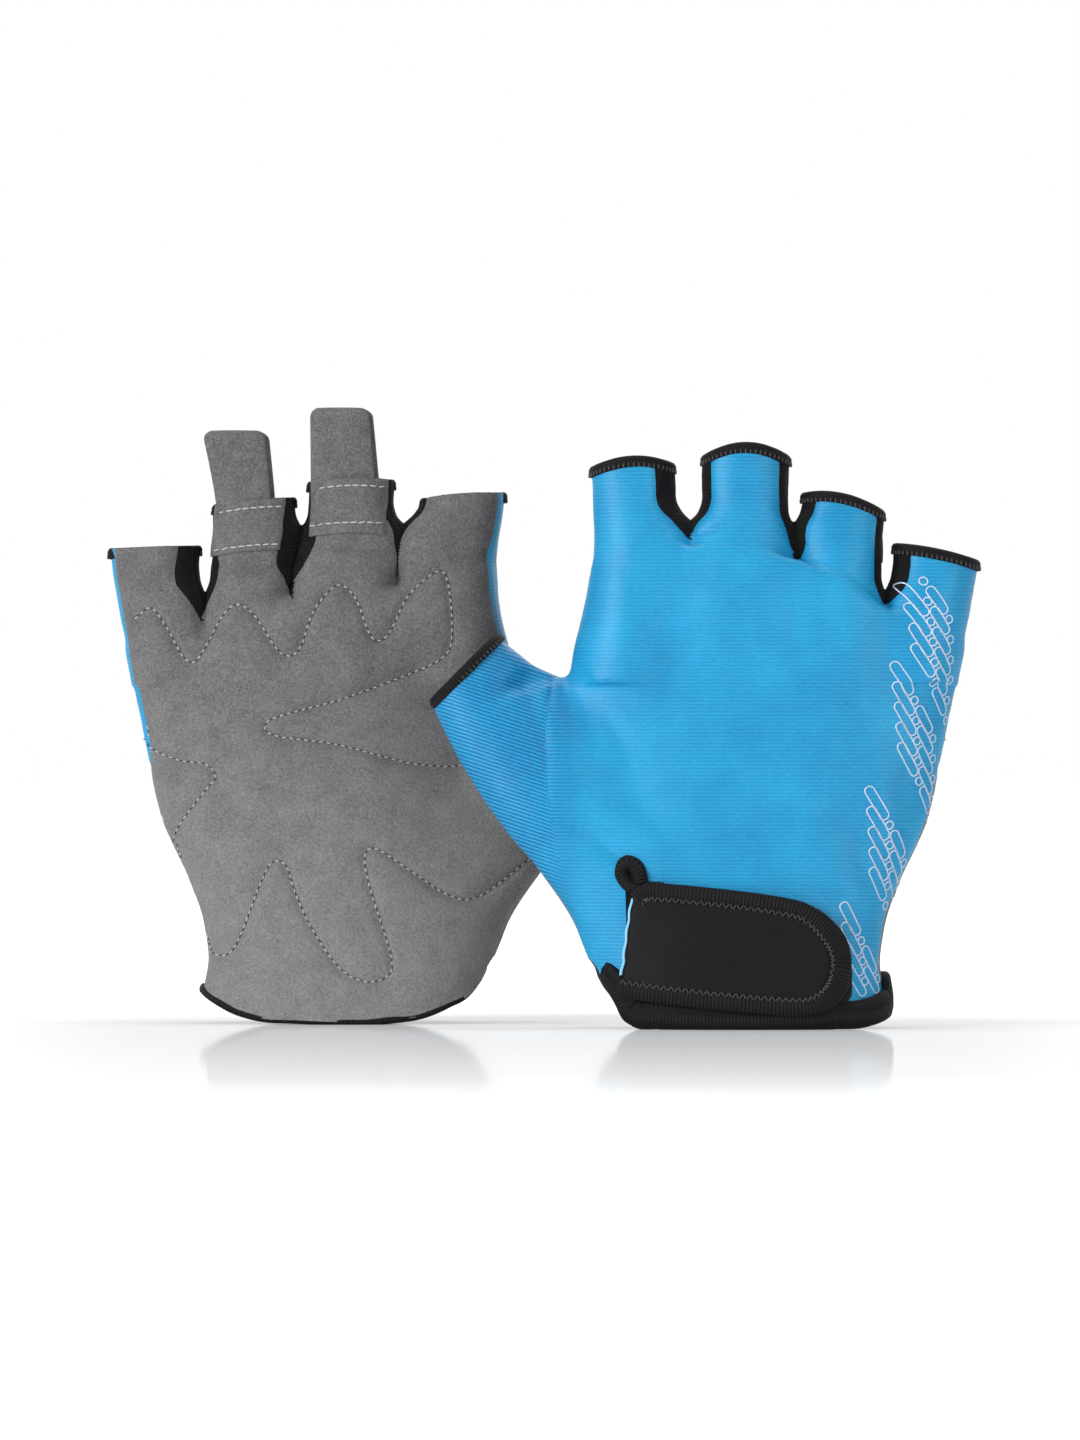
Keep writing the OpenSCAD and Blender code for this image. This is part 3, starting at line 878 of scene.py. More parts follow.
def blend_finger(piece, glove, name):
    """Works out the line across a finger's root where its fabric would bend, and bakes the piece's place into its
    mesh; no bend is made.
    """
    centre, half, _ = finger_shape(name, np.array(ROOT_LEVEL))
    deep = np.linspace(-ROOT_HALF_DEPTH, ROOT_HALF_DEPTH, 7)
    x, y = np.meshgrid(np.linspace(centre - half, centre + half, 9), deep)
    rim = np.stack([x, y, root_surface(x, y)], -1)
    tilt = (rim[:, -1, 2] - rim[:, 0, 2]).mean() / (2 * half)
    slope = (rim[0, :, 2] - rim[-1, :, 2]).mean() / (2 * ROOT_HALF_DEPTH)
    across = unit(np.array([-tilt, slope, 1.0]))
    middle = rim[3, 4]
    root = middle + across * max(0.0, float(((rim - middle) @ across).max()))
    start, end = to_world(glove, np.stack([root, root + across * FINGER_BEND]))
    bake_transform(piece)


def blend_thumb(piece, glove):
    axis = np.array([-1.0, 0.0, 1.0]) / math.sqrt(2)
    across = np.array([1.0, 0.0, 1.0]) / math.sqrt(2)
    root = axis * THUMB_SPLIT + across * THUMB_MIDDLE
    start, end = to_world(glove, np.stack([root, root + axis * THUMB_BEND]))
    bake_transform(piece)


# The cloth of each kind of finger or thumb panel, and of the panels that have their own
CLOTHS = {"back": "back_fabric", "palm": "palm_suede", "gusset": "gusset_mesh"}
PANEL_CLOTHS = {"back_panel": "back_fabric", "palm_panel": "palm_suede", "thumb_gusset": "back_fabric"}


# Quilting lines on the palm, as (x, z): knuckles and thumb, outer palm, and heel
QUILT = {
    "knuckles": [(58, 114), (53.5, 117), (49, 111.5), (44.5, 103.5), (41, 102), (37, 108), (33, 115.3), (29, 118),
                 (24, 114.5), (18.5, 106.2), (15, 103.6), (11.3, 106), (7.5, 116.5), (1.5, 123.4), (-4, 119.5),
                 (-8, 110), (-10.5, 107.8), (-14, 110.5), (-19, 121), (-26.5, 127.4), (-30, 121.5), (-31.3, 110.5),
                 (-29, 103.3), (-17.4, 97.7), (0, 91.3), (17.5, 86.5), (21.2, 83.7), (18, 81), (1, 78.6), (-22, 73),
                 (-38, 73.5), (-52, 80)],
    "outer_palm": [(57, 83.5), (54, 78), (46, 74.3), (38, 73), (35.3, 69.5), (38.4, 65.3), (46, 55), (48.9, 45)],
    "heel": [(42.5, 24), (37.5, 20.3), (31.8, 19.6), (28, 25.5), (22.8, 39), (19.5, 45.2), (15.5, 44.8), (12.6, 36.6),
             (7.5, 26), (0, 15.6), (-7.5, 12), (-13.5, 14), (-14, 20), (-8.5, 37.5), (-6.8, 47), (-10, 49.3),
             (-19, 43.6), (-31, 36), (-40, 36.5), (-56, 49)],
}
# Soft folds: side (-1 back, 1 palm), middle x and z, lean in degrees, half length, half width, height
FOLDS = [
    (1, 26, 129.5, 0, 10, 2.2, -1.3), (1, 25, 124, -4, 9, 2.4, 0.7), (1, -1, 135, 4, 10, 2.2, -1.3),
    (1, -2, 129, 0, 9, 2.4, 0.5), (1, -33, 133, 14, 11, 3.0, -0.9), (1, -32, 139, 12, 10, 2.6, 0.5),
    (1, 53, 121, -8, 8, 2.6, -0.6), (1, 10, 62, 12, 26, 5, 0.5), (1, -20, 86, 18, 20, 4, 0.5),
    (1, 24, 97, -10, 18, 4, -0.5), (1, 0, 66, -14, 20, 3.5, -0.5), (1, -30, 60, 32, 16, 4, 0.6),
    (-1, -8, 138.5, 14, 7, 0.9, -0.6), (-1, -46, 100, -62, 13, 2.4, -0.7), (-1, -41, 88, -70, 16, 3.2, 0.5),
    (-1, -57.5, 97, 18, 6.5, 2.0, -1.5), (-1, -57, 84, -75, 13, 2.2, -0.6),
    (-1, -8, 118, 80, 14, 5, 0.4), (-1, -62, 97, 35, 7, 2.0, -1.1),
    (-1, -38, 50, -36, 13, 2.0, -0.8), (-1, -30, 55, -40, 18, 3.5, 0.6), (-1, 34, 44, -68, 16, 3.0, -0.5),
    (-1, 22, 50, -64, 18, 4.0, 0.4), (-1, 40, 60, -72, 18, 3.4, 0.4), (-1, 27, 120, -75, 14, 3.6, 0.4),
    (-1, 14, 112, -84, 13, 3.0, -0.4), (-1, 40, 104, -78, 12, 2.8, -0.4),
]


def smooth_line(keys, step):
    """Evenly spaced points on a smooth curve through the keys."""
    keys = np.array(keys, float)
    ends = np.concatenate([[2 * keys[0] - keys[1]], keys, [2 * keys[-1] - keys[-2]]])
    p0, p1, p2, p3 = (ends[k:len(ends) - 3 + k] for k in range(4))
    pieces = []
    for u in np.linspace(0, 1, 24, endpoint=False):
        bend = 2 * p1 + (p2 - p0) * u + (2 * p0 - 5 * p1 + 4 * p2 - p3) * u**2 + (3 * p1 - p0 - 3 * p2 + p3) * u**3
        pieces.append(0.5 * bend)
    dense = np.concatenate([np.stack(pieces, 1).reshape(-1, keys.shape[1]), keys[-1:]])
    return resample(dense, max(2, int(round(arc_lengths(dense)[-1] / step)) + 1))


def distance_to(points, line):
    """Distance in the plane from each point to the nearest point of a line."""
    nearest = np.full(len(points), 1e9)
    for start in range(0, len(line), 64):
        gap = points[:, None, :] - line[None, start:start + 64, :]
        nearest = np.minimum(nearest, (gap**2).sum(2).min(1))
    return np.sqrt(nearest)


def displaced(points):
    """The surface with its quilting, seams and creases pressed in."""
    x, y, z = points.T
    slope = gradient(points)
    normal = slope / np.maximum(np.linalg.norm(slope, axis=1), 1e-9)[:, None]
    flat = np.stack([x, z], 1)
    height = np.zeros(len(points))

    palm = ease(y, 2, 9)
    quilt = np.concatenate([smooth_line(keys, 0.6) for keys in QUILT.values()])
    near = np.full(len(points), 30.0)
    facing = palm > 0
    near[facing] = distance_to(flat[facing], quilt)
    height += palm * (0.75 * (1 - np.exp(-((near / 5) ** 2))) - 0.8 * np.exp(-((near / 1.15) ** 2)))

    for side, fx, fz, lean, length, width, size in FOLDS:
        c, s = math.cos(math.radians(lean)), math.sin(math.radians(lean))
        along = (x - fx) * c + (z - fz) * s
        across = -(x - fx) * s + (z - fz) * c
        height += ease(side * y, 1, 7) * 1.35 * size * np.exp(-((along / length) ** 2) - (across / width) ** 2)

    seam = side_seam(x, y, z)
    height -= 0.4 * np.exp(-((seam / 0.9) ** 2))
    root = z - root_surface(x, y)
    thumb = thumb_seam(x, z)
    height -= 0.45 * (y < 0) * ease(z, 52, 74) * (z < 100) * np.exp(-((thumb / 0.8) ** 2))
    for name in FINGERS:
        for side in (0, 1):
            if SIDE_PALM[name][side] > 0:
                panel = side_panel(name, side, x, y, z)
                mine = (finger_of(x) == FINGERS.index(name)) & (root > 1)
                height -= 0.3 * mine * np.exp(-((panel / 0.7) ** 2))
    height += 0.35 * np.sin(x / 9 + 1.3 * np.sin(z / 17)) * np.sin(z / 13 + 0.8 * np.sin(x / 15 + np.sign(y)))
    height += 0.12 * np.sin(x / 3.1 + 2 * np.sin(z / 7)) * np.sin(z / 4.3 + 1.4 * np.sin(x / 6))
    return points + normal * height[:, None]


def make_body(glove):
    points, triangles, label = hand_mesh(glove)
    points = displaced(points)
    normals = vertex_normals(points, triangles)
    glove["tree"] = BVHTree.FromPolygons(points.tolist(), triangles.tolist())
    for name in sorted(set(label)):
        mine = triangles[label == name]
        part, kind = name.split("_")
        material = PANEL_CLOTHS.get(name, CLOTHS.get(kind))
        shell, faces, shell_normals, inner = thicken(points, mine, normals, FABRIC)
        slant = math.radians(18) if name.startswith("thumb") else 0.0
        along = shell[:, 2] * math.cos(slant) + shell[:, 0] * math.sin(slant)
        across = shell[:, 0] * math.cos(slant) - shell[:, 2] * math.sin(slant)
        uv = np.stack([across + np.abs(shell[:, 1]), along], 1)
        piece = make_piece(glove, name, shell, faces, material, uv, shell_normals, inner)
        if part in FINGERS:
            blend_finger(piece, glove, part)
            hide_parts(glove["name"] + "_" + name)
        elif name in ("thumb_back", "thumb_palm"):
            blend_thumb(piece, glove)
            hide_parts(glove["name"] + "_thumb_sleeve")
        else:
            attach(piece, glove["name"] + "_hand")
            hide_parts(glove["name"] + "_" + name)


# ---------------------------------------------------------------- laying things on the glove

def on_glove(glove, line, side, lift=0.0):
    """A flat (x, z) line laid on the back (side -1) or the palm (side 1), with the surface's normals."""
    places, normals = [], []
    for x, z in np.asarray(line, float):
        hit, normal, _, _ = glove["tree"].ray_cast(Vector((x, side * 60, z)), Vector((0, -side, 0)))
        if hit is None:
            hit, normal, _, _ = glove["tree"].find_nearest(Vector((x, side * 6, z)))
        if normal.y * side < 0:
            normal = -normal
        places.append(hit)
        normals.append(normal)
    normals = np.array(normals, float)
    for _ in range(3):
        padded = np.concatenate([normals[:1], normals, normals[-1:]])
        normals = unit(padded[:-2] + 2 * padded[1:-1] + padded[2:])
    return np.array(places, float) + normals * lift, normals


def sweep(path, outward, profile, closed=False, pitch=None, level=False):
    """A solid strip: the profile, as (across, out) points or one such list a station, carried along.

    A level strip keeps its width along x."""
    path, outward, profile = (np.asarray(a, float) for a in (path, outward, profile))
    if profile.ndim == 2:
        profile = np.repeat(profile[None], len(path), 0)
    if closed:
        tangent = unit(np.roll(path, -1, 0) - np.roll(path, 1, 0))
    else:
        tangent = heading(path)
    if level:
        tangent = unit(tangent * np.array([0, 1, 1]))
    across = unit(np.cross(outward, tangent))
    out = np.cross(tangent, across)
    rings = path[:, None] + profile[:, :, :1] * across[:, None] + profile[:, :, 1:] * out[:, None]
    count, size = profile.shape[:2]
    loop = np.concatenate([path, path[:1]]) if closed else path
    length = arc_lengths(loop)
    if closed and pitch:
        length *= round(length[-1] / pitch) * pitch / length[-1]
    girth = arc_lengths(np.concatenate([profile[0], profile[0][:1]]))
    faces, corners = [], []
    for i in range(count if closed else count - 1):
        k = (i + 1) % count
        for j in range(size):
            m = (j + 1) % size
            faces.append((i * size + j, i * size + m, k * size + m, k * size + j))
            corners += [(length[i], girth[j]), (length[i], girth[j + 1]), (length[i + 1], girth[j + 1]),
                        (length[i + 1], girth[j])]
    if not closed:
        faces.append(tuple(range(size - 1, -1, -1)))
        faces.append(tuple(range((count - 1) * size, count * size)))
        corners += [(length[0], g) for g in girth[:size]] + [(length[-1], g) for g in girth[:size]]
    return rings.reshape(-1, 3), faces, corners


def plate(front, outward, thickness, dome=0.0):
    """A padded plate from a grid of points: a crowned front, a back below it, and a closed rim."""
    rows, columns = front.shape[:2]
    u = np.linspace(-1, 1, rows)[:, None]
    v = np.linspace(-1, 1, columns)[None]
    crown = (1 - u**4) * (1 - v**4)
    top = front + outward * (dome * crown)[..., None]
    base = front - outward * thickness
    number = np.arange(rows * columns).reshape(rows, columns)
    faces = []
    for i in range(rows - 1):
        for j in range(columns - 1):
            faces.append((number[i, j], number[i + 1, j], number[i + 1, j + 1], number[i, j + 1]))
    under = [tuple(n + rows * columns for n in reversed(f)) for f in faces]
    rim = list(number[0, :-1]) + list(number[:-1, -1]) + list(number[-1, :0:-1]) + list(number[:0:-1, 0])
    edge = []
    for a, b in zip(rim, rim[1:] + rim[:1]):
        edge.append((a, b, b + rows * columns, a + rows * columns))
    return np.concatenate([top.reshape(-1, 3), base.reshape(-1, 3)]), faces + under + edge


def stitch_bodies(places, along, outward, length, width, height):
    """A short rounded thread at each place, lying along its own direction."""
    stations = [(-0.5, 0.35), (-0.3, 0.9), (0.0, 1.0), (0.3, 0.9), (0.5, 0.35)]
    sides = 6
    along, outward = unit(np.asarray(along, float)), unit(np.asarray(outward, float))
    across = unit(np.cross(outward, along))
    up = np.cross(along, across)
    points, faces = [], []
    for p, a, c, n in zip(np.asarray(places, float), along, across, up):
        base = len(points)
        for t, swell in stations:
            for k in range(sides):
                turn = 2 * math.pi * k / sides
                across_part = c * (math.cos(turn) * width / 2 * swell)
                points.append(p + a * (t * length) + across_part + n * (math.sin(turn) * height * swell))
        for i in range(len(stations) - 1):
            for k in range(sides):
                m = (k + 1) % sides
                row, after = base + i * sides, base + (i + 1) * sides
                faces.append((row + k, row + m, after + m, after + k))
        faces.append(tuple(base + k for k in range(sides - 1, -1, -1)))
        faces.append(tuple(base + (len(stations) - 1) * sides + k for k in range(sides)))
    return np.array(points), faces


def add_stitches(glove, name, groups, body, colours=("stitch_thread",), **size):
    """Rows of stitches as one piece; each group is (places, along, outward), and colours take turns."""
    places, along, outward = (np.concatenate([g[k] for g in groups]) for k in range(3))
    points, faces = stitch_bodies(places, along, outward, **size)
    piece = make_piece(glove, name, points, faces, colours[0])
    if len(colours) > 1:
        piece.data.materials.append(MATERIALS[colours[1]])
        each = len(faces) // len(places)
        turn = (np.arange(len(faces)) // each) % 2
        piece.data.polygons.foreach_set("material_index", turn.astype(np.int32))
    fasten(piece, glove, body)
    return piece


def fasten(piece, glove, body):
    """Rides on the hand or the strap, or for a finger or the thumb has its place baked into its mesh."""
    if body in FINGERS:
        blend_finger(piece, glove, body)
    elif body == "thumb":
        blend_thumb(piece, glove)
    else:
        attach(piece, glove["name"] + "_" + body)


def row_on(glove, line, side, gap, lift=0.1, jitter=0.0):
    """Stitch places along a line on the glove, one every gap."""
    path, normals = on_glove(glove, smooth_line(line, gap / 2), side, lift)
    along = heading(path)
    if jitter:
        along = unit(along + rng.normal(0, jitter, along.shape))
    return path[1::2], along[1::2], normals[1::2]


# ---------------------------------------------------------------- tape round the openings

TAPE_DOWN = 2.8
COMB = {"length": 1.3, "width": 0.42, "height": 0.3}


def ring_profile(down, stand, hidden):
    """Folded tape over an edge, as (up, out); where hidden is 1 it tucks in behind the outer fabric."""
    shown = 1 - hidden
    outer = stand * shown - 0.5 * hidden
    top = 0.45 * shown - 0.25 * hidden
    return [(-down, -0.1 * shown - 0.5 * hidden), (-down + 0.25, outer * 0.75), (-down * 0.55, outer),
            (-0.5, outer * 0.95), (top * 0.7, outer * 0.45 - 0.15), (top, -FABRIC / 2), (top * 0.7, -FABRIC - 0.1),
            (-0.5, -FABRIC - 0.5), (-down * 0.55, -FABRIC - 0.6), (-down + 0.25, -FABRIC - 0.5), (-down, -FABRIC)]


def oval_ring(centre, half, depth, power, count=96):
    turn = np.linspace(0, 2 * math.pi, count, endpoint=False)
    c, s = np.cos(turn), np.sin(turn)
    return (centre + half * np.sign(c) * np.abs(c) ** (2 / power), depth * np.sign(s) * np.abs(s) ** (2 / power))


def finger_ring(glove, name):
    """The edge of a finger's opening, with the way out from its axis."""
    z = np.full(96, sum(OUTLINES[name]["tip"]) / 2)
    for _ in range(3):
        centre, half, depth = finger_shape(name, z)
        x, y = oval_ring(centre, half, depth, FINGER_POWER)
        z = tip_height(name, x, glove)
    ring = np.stack([x, y, z], 1)
    slope = gradient(ring)
    slope[:, 2] = 0
    return ring, unit(slope)


def even_ring(ring, outward, step):
    """The same closed line with evenly spaced points."""
    loop = np.concatenate([ring, ring[:1]])
    way = np.concatenate([outward, outward[:1]])
    length = arc_lengths(loop)
    at = np.linspace(0, length[-1], int(length[-1] / step), endpoint=False)
    return read_off(at, length, loop), unit(read_off(at, length, way))


def finger_tapes(glove):
    for name in FINGERS:
        ring, outward = even_ring(*finger_ring(glove, name), 0.8)
        hidden = ease(ring[:, 1], 1.5, 5.5)
        profile = [ring_profile(TAPE_DOWN, 0.75, h) for h in hidden]
        points, faces, corners = sweep(ring, outward, profile, True, 0.95)
        piece = make_piece(glove, name + "_binding", points, faces, "binding_tape", corners=corners)
        blend_finger(piece, glove, name)
        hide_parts(glove["name"] + "_" + name + "_binding")
        ring, outward = even_ring(ring, outward, 1.35)
        shown = ring[:, 1] < 2.5
        up = np.tile([0.0, 0.0, 1.0], (shown.sum(), 1))
        places = ring[shown] + outward[shown] * 0.62 - up * (TAPE_DOWN - 0.75)
        add_stitches(glove, name + "_comb_stitches", [(places, up, outward[shown])], name,
                     ("binding_thread",), **COMB)


def thumb_ring(s):
    """The rim of the thumb at one station along it."""
    low, high, depth = curve(THUMB_LOW, s), curve(THUMB_HIGH, s), curve(THUMB_DEPTH, s)
    w, y = oval_ring((low + high) / 2, (high - low) / 2, depth, THUMB_POWER)
    x, z = (w - s) / math.sqrt(2), (w + s) / math.sqrt(2)
    ring = np.stack([x, y, z], 1)
    return ring, unit(gradient(ring))


def thumb_tape(glove):
    ring, outward = even_ring(*thumb_ring(THUMB_TIP), 0.8)
    axis = np.array([-1.0, 0.0, 1.0]) / math.sqrt(2)
    profile = ring_profile(2.7, 0.75, 0.0)
    points, faces, corners = sweep(ring, outward, profile, True, 0.95)
    piece = make_piece(glove, "thumb_binding", points, faces, "binding_tape", corners=corners)
    blend_thumb(piece, glove)
    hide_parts(glove["name"] + "_thumb_binding")
    ring, outward = even_ring(ring, outward, 1.35)
    places = ring + outward * 0.62 - axis * 1.95
    add_stitches(glove, "thumb_comb_stitches", [(places, np.tile(axis, (len(ring), 1)), outward)], "thumb",
                 ("binding_thread",), **COMB)


def wrist_tape(glove):
    """The rolled band round the hem: tall on the back, narrow on the palm."""
    z = np.full(240, 3.0)
    for _ in range(4):
        left, right = curve(HAND_LEFT, z), curve(HAND_RIGHT, z)
        x, y = oval_ring((left + right) / 2, (right - left) / 2, curve(HAND_DEPTH, z), HAND_POWER, 240)
        z = hem_height(glove, x, y)
    ring = np.stack([x, y, z], 1)
    outward = gradient(ring)
    outward[:, 2] = 0
    ring, outward = even_ring(ring, unit(outward), 0.9)
    profile = []
    for x, y, z in ring:
        on_palm = float(ease(y - glove["band_turn"], -3.5, 3.5))
        tall = 7.8 * (1 - on_palm) + 2.5 * on_palm
        stand = 1.25 * (1 - on_palm) + 0.75 * on_palm
        inner = -FABRIC - 0.7
        profile.append([(tall, 0.05), (tall - 0.4, stand * 0.6), (tall * 0.62, stand), (tall * 0.3, stand),
                        (0.35, stand * 0.55), (0.02, -0.3), (0.02, -FABRIC), (0.35, inner), (tall * 0.6, inner - 0.3),
                        (tall - 0.5, inner), (tall, -FABRIC)])
    points, faces, corners = sweep(ring, outward, profile, True, 0.95)
    piece = make_piece(glove, "wrist_binding", points, faces, "binding_tape", corners=corners)
    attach(piece, glove["name"] + "_hand")
    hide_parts(glove["name"] + "_wrist_binding")


# Middle line of the rolled tape that curls over the top of the wrist slit
SLIT_TAPE = [(-23, 38.6), (-30.2, 39.2), (-33, 41), (-34.2, 43.6), (-32.6, 46), (-30.3, 45),
             (-29.3, 42.4), (-29, 40)]


def slit_width(x, z):
    """Above zero inside the wrist slit."""
    return np.minimum(1.2 - np.abs(x + 31.6 + 0.02 * (z - 20)), (43.4 - z) * 0.6)


def slit_tape(glove):
    path, normals = on_smooth(glove, smooth_line(SLIT_TAPE, 0.7))
    half = 2.1 + 0.2 * ease(path[:, 2], 36, 44)
    dome = 0.9 + 1.9 * ease(path[:, 2], 30, 42)
    shape = [(-1, -0.6), (-0.95, 0.3), (-0.6, 0.8), (0, 1.0), (0.6, 0.8), (0.95, 0.3), (1, -0.6), (0, -1.0)]
    profile = [[(a * w, o * d if o > 0 else o * 0.8) for a, o in shape] for w, d in zip(half, dome)]
    points, faces, corners = sweep(path, normals, profile)
    piece = make_piece(glove, "slit_binding", points, faces, "binding_tape", corners=corners)
    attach(piece, glove["name"] + "_hand")
    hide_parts(glove["name"] + "_slit_binding")


# ---------------------------------------------------------------- wrist strap

STRAP_TOP = [(-31.2, 37.4), (-28.5, 39.8), (-22.5, 40.1), (-1.4, 38), (13, 35.7), (18.5, 33.5), (22.8, 30.4),
             (26.3, 26), (27.8, 21), (28, 17)]
STRAP_BOTTOM = [(-33.6, 9), (-24, 7.5), (-10, 5.8), (5, 4.4), (14, 3.9), (19.5, 4.6), (24.2, 6.9), (26.9, 11),
                (28, 17)]
STRAP_LIFT = 2.6


def strap_grid(glove, inset, lift, rows=64, columns=26):
    """A grid over the strap between its bottom and top edges, pulled in by an inset."""
    pick = lambda keys: resample(smooth_line(keys, 0.5), rows)
    top, bottom = pick(STRAP_TOP), pick(STRAP_BOTTOM)
    bottom[:, 1] += glove["strap_rise"] * ease(-bottom[:, 0], 18, 33)
    middle = np.array([0.0, 21.0])
    grid = []
    for v in np.linspace(0, 1, columns):
        grid.append(bottom * (1 - v) + top * v)
    grid = np.stack(grid, 1)
    half = np.array([32.0, 17.0])
    grid = middle + (grid - middle) * (1 - inset / half)
    flat = grid.reshape(-1, 2)
    places, normals = on_smooth(glove, flat)
    return (places + normals * lift).reshape(rows, columns, 3), normals.reshape(rows, columns, 3)


def on_smooth(glove, flat):
    """Places on the undented back of the hand, so that the strap bridges the folds."""
    x, z = flat[:, 0], flat[:, 1]
    left, right = curve(HAND_LEFT, z), curve(HAND_RIGHT, z)
    u = np.clip((x - (left + right) / 2) / ((right - left) / 2), -0.97, 0.97)
    depth = curve(HAND_DEPTH, z)
    y = -depth * (1 - np.abs(u) ** HAND_POWER) ** (1 / HAND_POWER)
    places = np.stack([x, y, z], 1)
    slope = gradient(places)
    slope[:, 2] *= 0.3
    return places, unit(slope)


def make_strap(glove):
    front, outward = strap_grid(glove, 0.4, STRAP_LIFT)
    points, faces = plate(front, outward, 1.6, 0.35)
    piece = make_piece(glove, "strap", points, faces, "neoprene")
    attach(piece, glove["name"] + "_strap")
    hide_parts(glove["name"] + "_strap")

    outline = np.concatenate([smooth_line(STRAP_BOTTOM, 0.7), smooth_line(STRAP_TOP, 0.7)[::-1][1:]])
    outline[:, 1] += glove["strap_rise"] * ease(-outline[:, 0], 18, 33) * ease(-outline[:, 1], -20, -10)
    places, normals = on_smooth(glove, outline)
    path = places + normals * (STRAP_LIFT - 0.2)
    wide = 4.5 + 1.6 * ease(outline[:, 0], 16, 27)
    shape = [(0.02, -1.5), (-0.06, -0.5), (-0.02, 0.55), (0.1, 0.98), (0.5, 1.22), (0.85, 1.05), (1, 0.5),
             (1, -0.1), (0.95, -1.7), (0.5, -1.9)]
    profile = [[(a * w, o) for a, o in shape[::-1]] for w in wide]
    points, faces, corners = sweep(path, normals, profile)
    piece = make_piece(glove, "strap_binding", points, faces, "strap_tape", corners=corners)
    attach(piece, glove["name"] + "_strap")
    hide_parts(glove["name"] + "_strap_binding")

    # Zigzag stitches over the inner edge of the tape
    along = heading(path)
    inward = unit(np.cross(normals, along))
    row, way, side, out = (even_rows(a, path, 1.0) for a in (path, along, inward, normals))
    reach = even_rows(wide[:, None], path, 1.0)
    swing = np.where(np.arange(len(row)) % 2 == 0, 1.0, -1.0)[:, None]
    zigzag = (row + side * (reach - 0.3) + out * 0.95, way + side * swing * 1.5, out)
    add_stitches(glove, "strap_zigzag", [zigzag], "strap", ("binding_thread",), length=1.6, width=0.34, height=0.24)

    # The blue fabric's raised edge where the strap is sewn down, its pale colour a painted highlight
    edge = smooth_line([(-33, 15), (-32.6, 20), (-32, 27), (-31.4, 32.5), (-30.9, 36.2)], 0.8)
    edge[:, 0] += 0.15 * np.sin(edge[:, 1] * 1.1)
    places, normals = on_smooth(glove, edge)
    thin = [(-0.28, -3.2), (-0.28, 0.1), (0.28, 0.1), (0.28, -3.2)]
    points, faces, corners = sweep(places + normals * (STRAP_LIFT + 0.25), normals, thin)
    piece = make_piece(glove, "strap_edge", points, faces, "seam_edge", corners=corners)
    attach(piece, glove["name"] + "_hand")


def even_rows(values, path, step):
    """Values along a path, read off at even distances."""
    length = arc_lengths(path)
    return read_off(np.arange(step, length[-1], step), length, values)


def hook_and_loop(glove):
    for name, body, x0, x1, z0, z1, lift in (("loop_patch", "hand", 3, 21.5, 12, 28.5, 0.9),
                                            ("hook_patch", "strap", 5, 28.9, 7.5, 18.5, 1.3)):
        x, z = np.meshgrid(np.linspace(x0, x1, 30), np.linspace(z0, z1, 22), indexing="ij")
        corner = np.maximum(0, np.abs((z - (z0 + z1) / 2) / (z1 - z0) * 2) - 0.5) ** 2
        x = x - 5 * corner * (x > (x0 + x1) / 2)
        places, normals = on_smooth(glove, np.stack([x.ravel(), z.ravel()], 1))
        front = (places + normals * lift).reshape(30, 22, 3)
        points, faces = plate(front, normals.reshape(30, 22, 3), 0.7)
        piece = make_piece(glove, name, points, faces, "hook_loop")
        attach(piece, glove["name"] + "_" + body)
        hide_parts(glove["name"] + "_" + name)


# ---------------------------------------------------------------- finger patches and pull tabs

# Suede patch and tab on a finger: patch sides, depth below the opening and stitch rows; where the upright
# tab's middle is at its foot and its top, its width at its foot and its top, and its hinge on the arched finger
TABS = {
    "middle": {"patch": (-9.7, 11.4), "low": 15.5, "rows": (1.2, 11.6), "middle": (2.4, 3.5),
               "width": (18.2, 16.4), "hinge": (0.6, 11.7, 160.9), "tilt": 1.4},
    "ring": {"patch": (19, 39.6), "low": 14.5, "rows": (1.4, 12), "middle": (30.2, 33),
             "width": (15.4, 16.9), "hinge": (27.35, 11.4, 146.5), "tilt": 12.5},
}
TAB_TALL = 21
TAB_THICK = 1.1
TAB_REACH = 6.6
# How far the second glove's tabs are folded down onto the palm side
FOLDED = 172


def finger_patch(glove, name):
    tab = TABS[name]
    left, right = tab["patch"]
    x = np.linspace(left, right, 34)
    inside = np.clip(x, *(finger_shape(name, np.array(140.0))[0] + np.array([-10.4, 11.7])))
    top = tip_height(name, inside, glove)
    grid = []
    for v in np.linspace(0, 1, 30):
        grid.append(np.stack([inside, top - 0.15 - tab["low"] * v], 1))
    flat = np.stack(grid, 1)
    places, normals = on_glove(glove, flat.reshape(-1, 2), 1, 0.75)
    front = places.reshape(*flat.shape[:2], 3)[:, ::-1]
    outward = normals.reshape(*flat.shape[:2], 3)[:, ::-1]
    points, faces = plate(front, outward, 0.95, 0.35)
    piece = make_piece(glove, name + "_patch", points, faces, "palm_suede")
    blend_finger(piece, glove, name)
    groups = []
    for down in tab["rows"]:
        at = np.linspace(inside[0] + 0.8, inside[-1] - 0.8, 6)
        line = np.stack([at, tip_height(name, at, glove) - down - 1.2], 1)
        groups.append(row_on(glove, line, 1, 2.2, 1.14, 0.12))
    add_stitches(glove, name + "_patch_stitches", groups, name, length=2.0, width=0.42, height=0.24)


